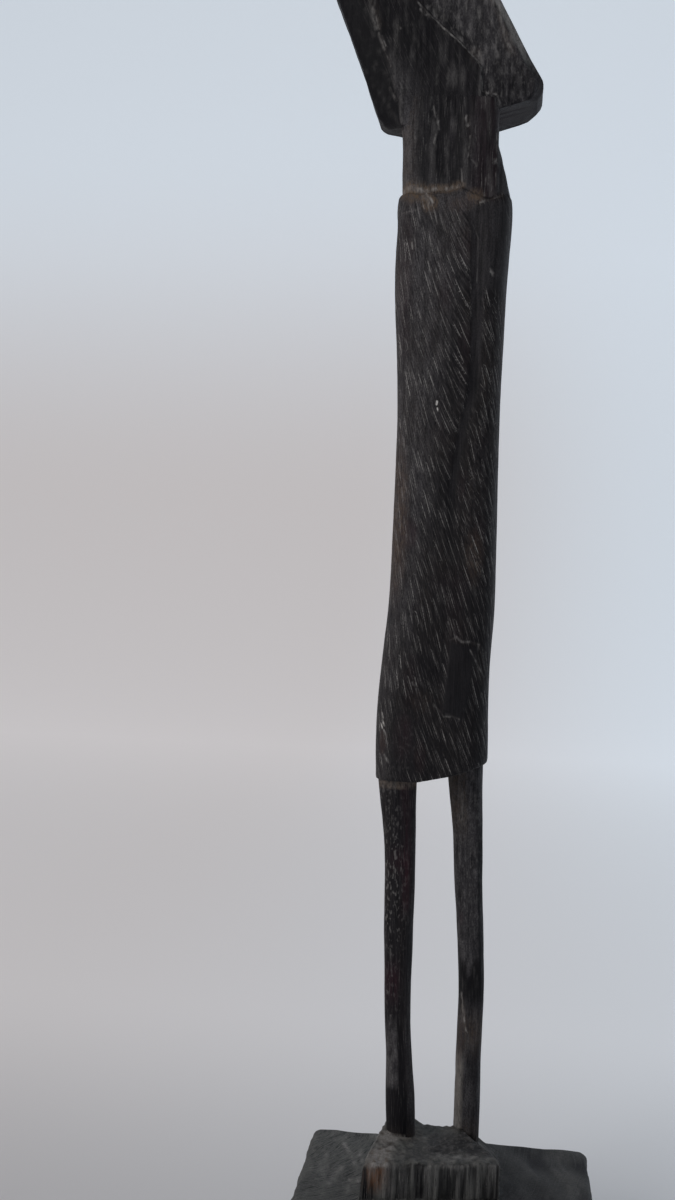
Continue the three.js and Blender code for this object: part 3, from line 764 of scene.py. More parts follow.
def robe_relief(points, normals, mark):
    x, y, z = points.T
    angle = np.arctan2(-y, robe_middle(z) - x) % (2 * math.pi)
    around = girth_gap((np.interp(angle, ANGLE_TABLE, SHARE_TABLE) - 0.25) * ROBE_GIRTH, 0)
    right = (np.abs(around) < RIGHT_REACH) & (y < 0)
    upper, lower, palm = patch(x, z, UPPER_PATCH), patch(x, z, LOWER_PATCH), hand(x, z)
    plain = np.maximum.reduce([band(x, z), upper, 0.85 * lower, palm]) * right
    hatch = (1 - plain) * (1 - 0.85 * smooth(z, 350, 354))
    bold, faint = throw_strokes(BOLD), throw_strokes(FAINT)
    cut, dust, mark.aside = cut_strokes(around, z, bold, BOLD)
    faint_cut = cut_strokes(around, z, faint, FAINT)[0]
    edge = lerp(0.15, 1, smooth(z - ROBE_FOOT - straight(HEM, x), 0.5, 3.5))
    cut = np.maximum(cut, faint_cut) * hatch * edge
    # The left side has the same groove and hand, plainer
    left = (np.abs(around) > LEFT_START) & (y > 0)
    groove = sleeve_groove(x, z) * (right + 0.8 * left)
    film, wear_and_light = robe_film(x, z, right)
    blotch = noise(points, (5, 5, 11), 7)
    mark.film = film * (1 - 0.8 * plain) * (1 + 0.2 * blotch)
    mark.film += (0.2 + 0.26 * smooth(z, 225, 260) + 0.14 * upper) * plain
    mark.polish = plain
    before_band = bump(x, straight(BAND, z, 1) - 3, 7) * smooth(z, 236, 262) * fall(z, 300, 330)
    dark_line = bump(x, straight(DARK_LINE, z), 3.4) * smooth(z, 218, 238) * fall(z, 290, 308) * right
    low_front = (1 - wear_and_light) * fall(z, 205, 262) * right
    mark.shade = right * (0.3 * before_band + 0.38 * low_front + 0.5 * dark_line)
    quiet = (1 - 0.3 * low_front) * (1 - 0.6 * dark_line)
    mark.stroke = dust * hatch * quiet * np.where(right, 1, 0.7) * (0.8 + 0.4 * blotch)
    mark.warm = 0.08 * (1 + noise(points, (6, 6, 12), 5)) * (1 - 0.7 * plain)
    mark.red = unit(noise(points, (7, 7, 16), 6) - 0.2) * 0.3 * (1 - plain)
    mark.speckle = right * (0.15 * lower + 0.12 * fall(z, 160, 190))
    seam = fall(np.abs(around), 56, 60)
    scratches(mark, stroke_stream(around, np.minimum(z, ROBE_TOP)), z, hatch * quiet * seam)
    wave = 0.22 * noise(points, (9, 9, 24), 3) + 0.05 * noise(points, (2.2, 2.2, 4), 4)
    return wave * edge - cut - groove + HAND.proud * palm * (right + left)


# Dark flutes in the neck's sides, which run on into the head: X, half width, how dark, upper end
NECK_FLUTES = [(-15.6, 2.4, 0.85, 418), (-9, 1.8, 0.95, 402), (-2.8, 2, 0.85, 398), (6.4, 1.6, 0.4, 396)]


def fluting(points):
    """Relief of the neck and the head above it, the dark of its flutes, and the noise that shapes them"""
    x, _, z = points.T
    flute = noise(points, (1.7, 1.7, 15), 11)
    fine = noise(points, (0.9, 0.9, 8), 12)
    dark = np.zeros(len(x))
    for place, half, deep, top in NECK_FLUTES:
        one = deep * bump(x + 0.04 * (z - 372) + 0.9 * flute, place, half) * fall(z, top - 14, top)
        dark = np.maximum(dark, one)
    dark *= smooth(z, 357, 364) * unit(0.6 + 0.9 * fine)
    return 0.16 * flute + 0.14 * fine - 0.25 * dark, dark, flute, fine


def neck_film(x, z, fine):
    lights = 0.12 * bump(x, -12.2, 1.8) + 0.1 * bump(x, -6.2, 1.4) + 0.25 * bump(x, 2, 2.6)
    low = 1 - 0.55 * smooth(z, 374, 396)
    return lerp(0.3, 1.6, fall(x, -21, -13)) * low + lights + 0.3 * fine


def neck_relief(points, normals, mark):
    x, y, z = points.T
    relief, dark, flute, fine = fluting(points)
    swell = 0.5 * bump(x, 1.5, 5) * fall(z, 354, 362) * (y < 0)
    facet = smooth(x, 9.3, 10) * (y < 0)
    mark.film = neck_film(x, z, fine) + 0.35 * facet
    mark.shade = dark
    mark.line = 0.22 * unit(1.3 * fine + 0.3 * flute) * (1 - dark)
    mark.warm = 0.3 * fall(x, -21, -15) + 0.45 * fall(z, 355, 359) * (x < 0)
    mark.red = 0.25 * smooth(x, -2, 4) * (1 - facet)
    scratches(mark, turned(x, y, -6, 14) + 0.4 * flute, z, 0.55 * fall(x, 8, 11) * (y < 9))
    return relief + swell - 0.5 * facet * fall(z, 372, 380)


def hair_rows(u, v, w):
    """Rows of the hair above its line, cut by short notches that change places from row to row"""
    above = w - straight(HAIR_LINE, u)
    turn = np.arctan2(v, u - 1) * HEAD_GIRTH_RADIUS
    row = np.floor(above / HAIR_ROW)
    across = np.abs(above / HAIR_ROW - row - 0.5) * 2
    notch = np.abs(((turn / HAIR_NOTCH + 0.5 * (row % 2)) % 1) - 0.5) * 2
    cut = 0.6 * smooth(across, 0.62, 1) + 0.4 * smooth(notch, 0.72, 1) * fall(across, 0.6, 0.9)
    return smooth(above, 0.4, 1.6) * cut * fall(w, 92, 97)


def face_marks(v, w, face):
    """Which parts of the face stand proud, and how dark its hollows and slits are"""
    half = straight(FACE_HALF, w)
    deep = face_hollow(v, w, half)
    carved = face * (np.abs(v) < half) * smooth(w, 10, 14) * fall(w, 60, 64)
    slits = bump(w - EYE.w + 0.35, 0, 1.2) * bump(np.abs(v), EYE.v, 3.4)
    slits += bump(w, MOUTH.w, 1.3) * (np.abs(v) < 4.6)
    nose = bump(v, 0, 3.4) * smooth(w, NOSE.foot, NOSE.foot + 2) * fall(w, NOSE.head - 4, NOSE.head)
    proud = unit(nose + 0.7 * carved * fall(deep, 0.5, 1.3)) * carved
    return proud, carved * (0.45 * smooth(deep, 1.3, 2.3) + 0.9 * slits)


def head_relief(points, normals, mark):
    z = points[:, 2]
    u, v, w = to_head(points)
    facet = noise(points, (5, 5, 13), 21)
    flute = noise(points, (1.7, 1.7, 17), 22)
    fine = noise(points, (0.9, 0.9, 6), 23)
    tick = noise(points, (0.8, 0.8, 2.6), 24)
    hair = hair_rows(u, v, w)
    front, jaw, back = straight(HEAD_FRONT, w), straight(JAW_LINE, w), straight(BACK_EDGE, w)
    face = smooth(u, 20, 24) * (np.abs(v) < 9.5)
    proud, dark_face = face_marks(v, w, face)
    corner = smooth(np.abs(v), 8, 9.5)
    chamfer = smooth(u, front - 4.4, front - 3) * corner
    # Painted highlight on the outer part of the front chamfer: a paler grey base and pale lines, on top of
    # its worn film
    outer = smooth(u, front - 2.9, front - 2) * corner
    cheek = smooth(u, jaw - 0.3, jaw + 0.9) * smooth(w, -9, -5)
    # Painted shadow of the jaw's step, on the cheek just in front of it
    wedge = bump(u, jaw + 2.4, 2.6) * smooth(w, 14, 20) * fall(w, 44, 56)
    rear = fall(u, back - 1, back + 0.6)
    # Faces turned down under the head get painted shade, and their film is set even
    under = smooth(-normals[:, 2], 0.35, 0.75) * (z < 400)
    flat = cheek * (1 - face) * (1 - chamfer)
    chin = fall(w, 3, 17) * cheek
    film = 0.06 + 0.1 * flute + flat * (1 + 0.7 * tick) - 0.55 * chin + chamfer * (1.6 + 0.9 * fine)
    mark.film = unit(lerp(film, 0.42, under) + 0.35 * face - 0.5 * rear) + 0.6 * proud
    mark.base = np.clip(outer * smooth(w, -2, 8) * (1.1 + 0.5 * fine), 0, 2)
    side = (1 - cheek) * (0.36 + 0.4 * unit(flute))
    shade = unit(0.9 * rear + 0.75 * wedge + under * lerp(1, 0.55, smooth(u, 6, 10)) + side)
    mark.shade = unit(shade + dark_face)
    mark.speckle = (0.4 * flat + 0.55 * chamfer) * (1 - under)
    mark.warm = unit((0.35 + 0.4 * fine) * chamfer * smooth(w, 8, 20) + 0.1 * face)
    line = unit(0.75 * tick - 0.12) * (0.3 + 0.7 * flat) * (1 - 0.55 * chin - 0.3 * rear) * (1 - under)
    line += 0.3 * proud * unit(0.6 + fine) + 0.8 * unit(fine + 0.25) * chamfer * smooth(w, 6, 16)
    mark.line = np.maximum(line, outer * smooth(w, 3, 12) * np.clip(0.95 + 0.5 * fine, 0, 0.98))
    mark.red = 0.1 * under
    mark.hair = hair
    relief = (0.2 * facet + 0.13 * flute + 0.05 * fine) * (1 - 0.75 * face) * (1 - under) - hair
    bare = (v < 9) * (u > -17) * (1 - face) * (1 - hair) * (1 - under)
    scratches(mark, turned(u, v, 1, 16) + 0.5 * facet, w, 0.3 * bare * (1 - 0.5 * chin))
    # The neck's side runs on into the head's without a line
    join = fall(z + 4 * facet, 391, 412) * smooth(np.abs(v), 11.2, 12) * (1 - cheek)
    join *= (1 - rear) * (1 - under)
    joined, dark, wide, thin = fluting(points)
    mark.film = lerp(mark.film, neck_film(points[:, 0], z, thin), join)
    mark.shade = lerp(mark.shade, dark, join)
    mark.line = lerp(mark.line, 0.3 * unit(thin + 0.3 * wide) * (1 - dark), join)
    return lerp(relief, joined, join)


def ear_relief(points, normals, mark):
    u, v, w = to_head(points)
    reach = np.hypot((u - EAR.u) / (EAR.width / 2), (w - EAR.w) / EAR.length)
    mark.film += 0.45
    return -0.9 * bump(reach, 0.42, 0.3) * smooth(np.abs(v), HEAD_HALF + 0.3, HEAD_HALF + 0.8)


def rear_leg_marks(x, z, t, below, flute, fine, spot, streak, mark):
    tan = fall(below + 0.4 * spot, 2, 2.7)
    spots = (1 - 0.7 * smooth(t, 0.35, 0.65)) * smooth(z, 98, 112) * (1 - 0.6 * smooth(z, 138, 150))
    grey = smooth(z, 55, 57.5) * fall(z, 70, 82) * fall(t, 0.42, 0.54)
    strip = smooth(t, 0.74, 0.84) * lerp(1, 0.6, smooth(z, 90, 150))
    groove = bump(t, 0.63, 0.16) * fall(z, 80, 92)
    mark.film = 0.1 * flute + 0.14 * spots + grey * (1.4 + 0.8 * spot)
    mark.film += (0.4 + 0.6 * fall(z, 60, 90)) * strip
    mark.line = 0.16 * grey * unit(0.5 + spot) + 0.22 * tan * (1 + fine)
    mark.speckle = 0.75 * spots + 0.3 * fall(t, 0.5, 0.8) * smooth(z, 78, 84) + 0.4 * grey
    mark.shade = unit(0.75 * groove + 0.45 * fall(z, 54, 57) * (1 - strip) + 0.4 * unit(streak))
    mark.red = 0.04 + 0.85 * bump(t, 0.74, 0.22) * smooth(z, 112, 120) * (0.7 + 0.5 * flute)
    mark.red += 0.5 * bump(z, 132, 7) * bump(t, 0.5, 0.5) + 0.6 * bump(z, 91, 11) * fall(t, 0.5, 0.7)
    mark.warm = 1.3 * tan + 0.1 * unit(flute)
    return 0.25 * bump(t, 0.8, 0.12)


def front_leg_marks(x, z, t, below, flute, fine, spot, streak, mark):
    right_strip = smooth(t, 0.82, 0.9) * smooth(z, 93, 102) * fall(z, 138, 148)
    vee = fall(np.abs(x - 9.2) - (z - 91.5) * 0.2, 0, 0.6)
    dark_zone = smooth(z, 80, 86) * fall(z, 92, 103) * (1 - vee)
    strip = fall(x, 7.8, 8.5) * fall(z, 74, 80)
    cream = strip * fall(z, 60, 68)
    grooves = smooth(streak, 0.15, 0.5) * fall(z, 62, 72) * (1 - strip)
    upper = smooth(z, 138, 150) * fall(t, 0.5, 0.65)
    mark.film = lerp(1.35, 0.8, fall(z, 90, 104)) * (0.8 + 0.4 * flute + 0.4 * spot)
    mark.film += 0.9 * vee * bump(z, 97, 9) + 0.8 * strip + 0.6 * fall(z, 60, 84) * (1 - strip)
    mark.warm = 0.7 * cream + 0.5 * strip + 0.45 * bump(z, 72, 12) * (1 - strip)
    mark.warm += 0.5 * smooth(z, 134, 150) * fall(t, 0.45, 0.6) + 0.6 * fall(below, 0.7, 1.5)
    mark.speckle = 0.4 * smooth(z, 100, 110) + 0.5 * cream
    mark.base = 1.3 * cream
    mark.red = 0.25 * strip * bump(z, 69, 8) + 0.4 * bump(np.hypot(x - 6, (z - 111.5) / 3), 0, 1.2)
    mark.line = 0.95 * cream * unit(0.75 + 0.6 * fine) + 0.1 * unit(spot) * (t < 0.8)
    mark.line += 0.35 * upper * unit(streak + 0.2 * fine)
    mark.shade = unit(0.95 * right_strip + 0.85 * dark_zone + 0.45 * grooves)
    mark.shade += 0.6 * bump(x + 0.5 * flute, 8.5, 0.6) * fall(z, 64, 76)
    return 0.3 * bump(t, 0.85, 0.12)


LEG_NOISE = ((2.4, 2.4, 20), (1, 1, 7), (1.2, 1.2, 2.4), (0.9, 0.9, 14))


def leg_relief(table, middle, seed, marks):
    """The relief of one leg, from its outline, the Y of its middle, and the marks of its own"""

    def relief(points, normals, mark):
        x, y, z = points.T
        back, front = along(table, z, 1), along(table, z, 2)
        fields = [noise(points, size, seed + 2 * i) for i, size in enumerate(LEG_NOISE)]
        flute, fine, spot, streak = fields
        below = ROBE_FOOT + straight(HEM, x) - z
        ridge = marks(x, z, (x - back) / (front - back), below, *fields, mark)
        mark.film = np.clip(mark.film, 0, 1.8)
        mark.warm += 0.4 * fall(z, 38, 45)
        scratches(mark, turned(x, y - middle, (back + front) / 2, 5) + 0.3 * flute, z, 0.35)
        return 0.2 * flute + 0.08 * fine + 0.06 * streak + ridge * (y < middle)

    return relief


# Pale curls that the tool left on the slab's top, as places (X, Y), and their half widths
CURLS = [
    ([(-32.9, 10.2), (-28.7, 1.4), (-26.2, -8.2), (-25, -19)], 0.7),
    ([(-34.4, -23.8), (-33.1, -15.6), (-31.2, -9.2)], 1),
    ([(-27.8, -27), (-27.2, -17.3)], 0.8),
    ([(-26.4, 5.8), (-23.9, -10.8)], 0.5),
    ([(-38, 2), (-36.5, -9), (-36.6, -16)], 0.8),
]
SWIRL_CENTRE = (-70, 22)
# Where the legs run into the mound
FEET = ((-11.5, -5.5), (10, 5.5))


def slab_relief(points, normals, mark):
    x, y, z = points.T
    swirl = places(x + 2.4 * np.sin(y / 7), y, z)
    chisel = noise(swirl, (1.7, 15, 6), 41)
    fine = noise(swirl, (0.8, 6, 4), 42)
    lump = noise(points, (9, 11, 9), 43)
    upright = noise(points, (2.2, 2.2, 16), 44)
    flat = smooth(normals[:, 2], 0.4, 0.8)
    left = fall(x, -20, 24)
    mark.base = lerp(0.3, 1.25, left) + 0.45 * lump + 0.25 * chisel
    mark.film = lerp(0.2, 0.95, left) + 0.3 * lump + 0.3 * chisel
    mark.line = 0.45 * unit(fine + 0.6 * chisel - 0.15) * flat * lerp(0.3, 1, left)
    mark.line += 0.12 * unit(upright) * (1 - flat)
    mark.speckle = 0.35 * flat * left
    worn = 0.6 * np.clip(0.8 + 0.8 * fine, 0.1, 1.3)
    for path, half in CURLS:
        mark.line += worn * flat * unit(1.5 - 1.2 * path_distance(x, y, path) / half)
    dx, dy = x - SWIRL_CENTRE[0], y - SWIRL_CENTRE[1]
    radius, turn = np.hypot(dx, dy), np.arctan2(dy, dx)
    strength = lerp(0.3, 1.2, left) * smooth(z, 1, 3)
    scratches(mark, lerp(x + y, radius + 1.5 * lump, flat), lerp(z, 40 * turn, flat), strength)
    cuts = lerp(0.35, 1, smooth(within(x, y, SLAB_BOX), 0.5, 4)) * (0.13 * chisel + 0.05 * fine + 0.16 * lump)
    return smooth(z, 0.2, 3) * lerp(0.3 * lump + 0.3 * upright, cuts, flat)


def block_relief(points, normals, mark):
    x, y, z = points.T
    groove = noise(points, (0.8, 0.8, 22), 51)
    wide = noise(points, (2.2, 2.2, 26), 52)
    crumb = noise(points, (1.3, 1.3, 1.3), 53)
    lump = noise(points, (6, 6, 5), 54)
    flat = smooth(normals[:, 2], 0.45, 0.8)
    front = smooth(-normals[:, 1], 0.5, 0.8)
    side = smooth(-normals[:, 0], 0.5, 0.8)
    left = fall(x, -14, -5)
    olive = flat * smooth(x, -4, 0) * smooth(y, -20, -15) * (1 - smooth(y, -4, 1) * (x < 8))
    mound = flat * smooth(y, -9, -3) * (1 - 0.6 * olive)
    shelf = flat * smooth(x, 0, 2) * fall(x, 12, 15) * bump(y, -20.5 + 0.1 * x, 2.4)
    feet = fall(np.minimum(*(np.hypot(x - foot[0], y - foot[1]) for foot in FEET)), 4, 9) * flat
    lip = bump(z, BLOCK.top - 0.8 + 0.9 * wide, 0.9) * (y < -18)
    stain = bump(x, -18, 5.5) * smooth(z, 28, 34.5) * (y < -20)
    peach = bump(x, -16.4, 5.4) * smooth(z, 36.5, 38.5) * fall(y, -12, -3) * smooth(lump, -0.5, 0.2)
    top_base = 0.85 + 0.4 * left + 0.5 * lump + 0.4 * crumb
    # Faces turned towards -X get a paler grey: painted light where the lamp falls on them
    mark.base = (lerp(0.8 + 0.5 * wide, top_base, flat) + 0.6 * side) * (1 - 0.6 * olive) + 0.6 * mound
    mark.film = lerp(0.75 + unit(groove), 0.6 + 0.5 * left + 0.5 * crumb + 0.4 * lump, flat)
    mark.film += 0.3 * mound + 1.2 * flat * bump(x, -7.5, 4.5) * bump(y, -19.5, 3.5)
    mark.shade = front * unit(0.7 * smooth(-groove, 0.02, 0.4) + 0.25 * smooth(-wide, 0.1, 0.5))
    mark.shade += 0.55 * olive * unit(0.8 + 0.8 * crumb)
    mark.shade += 0.9 * bump(x, BLOCK.left + 1.6, 0.8) * (y < -24) * (z < 38)
    streaks = (0.75 + 0.5 * bump(x, 9, 10)) * unit(groove + 0.3 * wide)
    line = lerp(streaks, 0.4 * unit(crumb + 0.4 * left), flat) + lip * (0.12 + 0.3 * bump(x, 7, 7))
    line += 0.65 * shelf * unit(0.7 + crumb) + 0.5 * feet * smooth(crumb, 0.1, 0.6)
    line += 0.4 * stain * unit(0.3 + 1.2 * groove) + 2.2 * peach * unit(0.6 + 0.9 * crumb)
    mark.line = np.minimum(line, 0.97)
    mark.speckle = 0.5 * flat
    mark.warm = (feet + 0.2 * flat) * unit(0.6 + 0.7 * crumb) + stain * unit(0.7 + 0.5 * wide) + 1.5 * peach
    mark.rust = 1.5 * stain * fall(z, 37, 39.5) * (1 - 0.5 * smooth(wide, 0, 0.5)) + 0.15 * peach
    scratches(mark, x - y + 0.4 * wide, z, 0.7 * (1 - flat) * (z < BLOCK.top - 0.5))
    return lerp(0.34 * groove + 0.25 * wide, 0.3 * crumb + 0.25 * lump, flat)


# Joining the pieces into one solid, with a finer mesh along the single marks
FINE_REACH = 0.75
FINE_EDGE = 0.3
SHARP_ANGLE = math.radians(62)


def mesh_object(name, points, faces):
    mesh = bpy.data.meshes.new(name)
    mesh.from_pydata(points.tolist(), [], faces)
    mesh.validate()
    made = bpy.data.objects.new(name, mesh)
    bpy.context.scene.collection.objects.link(made)
    return made


def read_vectors(mesh, name):
    values = np.empty(len(mesh.vertices) * 3, np.float32)
    mesh.vertices.foreach_get(name, values)
    return values.reshape(-1, 3).astype(float)


def join_solids(pieces):
    (_, solid), *others = pieces
    whole = mesh_object(NODE + "_carving", *solid)
    for name, solid in others:
        other = mesh_object(name, *solid)
        join = whole.modifiers.new("join", "BOOLEAN")
        join.operation = "UNION"
        join.solver = "MANIFOLD"
        join.object = other
        bpy.context.view_layer.objects.active = whole
        bpy.ops.object.modifier_apply(modifier=join.name)
        bpy.data.objects.remove(other)
    return whole


def marked_side(x, y, z):
    """Whether points lie on the right side, or on the right side of the front leg"""
    front_leg = (z < 157) & (z > BLOCK.top + 3) & (x > 0)
    return y < np.where(front_leg, LEG_OFFSET - 2, -5)


def near_marks(points):
    """Whether points on the right side lie close to one of the single marks"""
    near = np.zeros(len(points), bool)
    for path, wide, *_ in MARKS:
        near |= path_distance(points[:, 0], points[:, 2], path) < wide + FINE_REACH
    return near & marked_side(*points.T)


def refine(whole):
    for _ in range(2):
        near = near_marks(read_vectors(whole.data, "co"))
        shape = bmesh.new()
        shape.from_mesh(whole.data)
        bmesh.ops.triangulate(shape, faces=shape.faces)
        shape.verts.ensure_lookup_table()
        cut = [
            edge
            for edge in shape.edges
            if near[edge.verts[0].index] and near[edge.verts[1].index] and edge.calc_length() > FINE_EDGE
        ]
        bmesh.ops.subdivide_edges(shape, edges=cut, cuts=1, use_grid_fill=True)
        bmesh.ops.triangulate(shape, faces=shape.faces)
        shape.to_mesh(whole.data)
        shape.free()


def owners(points, pieces):
    """The piece that each point came from"""
    tree = KDTree(sum(len(own) for _, (own, _) in pieces))
    owner = []
    for number, (_, (own, _)) in enumerate(pieces):
        for p in own:
            tree.insert(p, len(owner))
            owner.append(number)
    tree.balance()
    return np.array([owner[tree.find(p)[1]] for p in points])


# The function that carves and colours each piece. The legs share one, with seeds of their own
RELIEF = {
    "robe": robe_relief,
    "neck": neck_relief,
    "head": head_relief,
    "rear_leg": leg_relief(REAR_LEG, -LEG_OFFSET, 32, rear_leg_marks),
    "front_leg": leg_relief(FRONT_LEG, LEG_OFFSET, 31, front_leg_marks),
    "slab": slab_relief,
    "block": block_relief,
    "right_ear": ear_relief,
    "left_ear": ear_relief,
}
# The mesh's attributes, and the channels of the marks that each one holds. Film, line and base also carry
# painted light in places, and hair carries painted shade
PACKED = {
    "dust": ("line", "film", "warm"),
    "tint": ("red", "rust", "base"),
    "finish_and_shade": ("polish", "hair", "hatch"),
    "cuts": ("stroke", "shade", "speckle"),
}
STROKE_PLACE = ("across", "along", "aside")
CHANNELS = [channel for names in (*PACKED.values(), STROKE_PLACE) for channel in names]


def single_marks(points, lift, marks):
    """Cuts and colours the single marks and stains"""
    x, y, z = points.T
    right = marked_side(x, y, z)
    worn = np.clip(0.7 + 0.9 * noise(points, (0.9, 0.9, 1.6), 61), 0.1, 1.4)
    for path, wide, deep, pale, brown in MARKS:
        distance = path_distance(x, z, path)
        near = right * unit(1 - distance / wide)
        lift -= deep * near
        marks["line"] = np.maximum(marks["line"], pale * worn * unit(near * 1.4))
        marks["warm"] = np.maximum(marks["warm"], brown * right * unit(1.2 - distance / (wide * 1.8)))
    uneven = 0.8 + 0.4 * noise(points, (1.6, 1.6, 3), 62)
    for sx, sz, rx, rz, *amounts in STAINS:
        reach = np.hypot((x - sx) / rx, (z - sz) / rz)
        blot = right * fall(reach, 0.3, 1) * uneven
        for channel, amount in zip(("warm", "red", "film"), amounts):
            marks[channel] += amount * blot


def store(mesh, name, kind, field, values):
    layer = mesh.attributes.new(name, kind, "POINT")
    layer.data.foreach_set(field, np.stack(values, -1).astype(np.float32).ravel())


def carve(whole, pieces):
    points, normals = (read_vectors(whole.data, name) for name in ("co", "normal"))
    part = owners(points, pieces)
    lift = np.zeros(len(points))
    marks = {channel: np.zeros(len(points)) for channel in CHANNELS}
    for number, (name, _) in enumerate(pieces):
        here = part == number
        mark = Sizes(**{channel: np.zeros(here.sum()) for channel in CHANNELS})
        lift[here] = RELIEF[name](points[here], normals[here], mark)
        for channel in CHANNELS:
            marks[channel][here] = getattr(mark, channel)
    single_marks(points, lift, marks)
    carved = (points + normals * lift[:, None]) * MM
    whole.data.vertices.foreach_set("co", carved.astype(np.float32).ravel())
    for name, channels in PACKED.items():
        values = [np.clip(marks[channel], 0, 2) for channel in channels] + [np.ones(len(points))]
        store(whole.data, name, "FLOAT_COLOR", "color", values)
    store(whole.data, "stroke_place", "FLOAT_VECTOR", "vector", [marks[channel] for channel in STROKE_PLACE])
    whole.data.update()
    whole.data.shade_smooth()
    whole.data.set_sharp_from_angle(angle=SHARP_ANGLE)


# Dark wood
class Graph:
    """A material's nodes, added and joined in one go"""

    def __init__(self, name):
        self.material = bpy.data.materials.new(name)
        self.material.use_nodes = True
        self.tree = self.material.node_tree
        self.tree.nodes.clear()

    def node(self, kind, values=None, **settings):
        made = self.tree.nodes.new("ShaderNode" + kind)
        for key, value in settings.items():
            setattr(made, key, value)
        for key, value in (values or {}).items():
            if isinstance(value, bpy.types.NodeSocket):
                self.tree.links.new(value, made.inputs[key])
            else:
                made.inputs[key].default_value = value
        return made

    def maths(self, operation, first, *others):
        for other in others:
            first = self.node("Math", {0: first, 1: other}, operation=operation).outputs[0]
        return first

    def times(self, *values):
        return self.maths("MULTIPLY", *values)

    def plus(self, *values):
        return self.maths("ADD", *values)

    def stretch(self, vector, by):
        return self.node("VectorMath", {0: vector, 1: by}, operation="MULTIPLY").outputs[0]

    def ramp(self, value, low, high, start=0, end=1):
        values = {"Value": value, "From Min": low, "From Max": high, "To Min": start, "To Max": end}
        return self.node("MapRange", values, interpolation_type="SMOOTHSTEP").outputs[0]

    def mix(self, factor, a, b):
        colours = {0: factor}
        for key, value in ((6, a), (7, b)):
            colours[key] = value if isinstance(value, bpy.types.NodeSocket) else (*value, 1)
        return self.node("Mix", colours, data_type="RGBA").outputs[2]

    def noise(self, vector, stretch, detail=3, rough=0.55):
        values = {"Vector": self.stretch(vector, stretch), "Scale": 1, "Detail": detail, "Roughness": rough}
        return self.node("TexNoise", values).outputs["Fac"]

    def hairlines(self, vector, stretch, reach):
        """Fine lines, each cell's own length and strength, along the second axis of a flat place"""
        values = {"Vector": self.stretch(vector, stretch), "Scale": 1}
        cell = self.node("TexVoronoi", values, voronoi_dimensions="2D").outputs
        strength = self.node("SeparateColor", {"Color": cell["Color"]}).outputs[0]
        return self.times(self.ramp(cell["Distance"], reach, reach * 0.4), strength)

    def layers(self, attribute):
        found = self.node("Attribute", attribute_name=attribute).outputs["Color"]
        return self.node("SeparateColor", {"Color": found}).outputs[:3]


# Colours of the wood, what lies on it and the painted light on it, linear
HEARTWOOD_DARK = (0.0056, 0.0051, 0.0068)
HEARTWOOD_PALE = (0.0205, 0.0185, 0.0215)
GREY_FILM_AND_LIGHT = (0.094, 0.088, 0.092)
PALE_DUST_AND_HIGHLIGHT = (0.37, 0.35, 0.335)
WARM_DUST = (0.14, 0.1, 0.072)
RUST = (0.15, 0.07, 0.035)
CHIP = (0.75, 0.72, 0.68)
RED_HEART = (0.042, 0.011, 0.019)
WEATHERED_AND_LIT_GREY = (0.13, 0.13, 0.122)


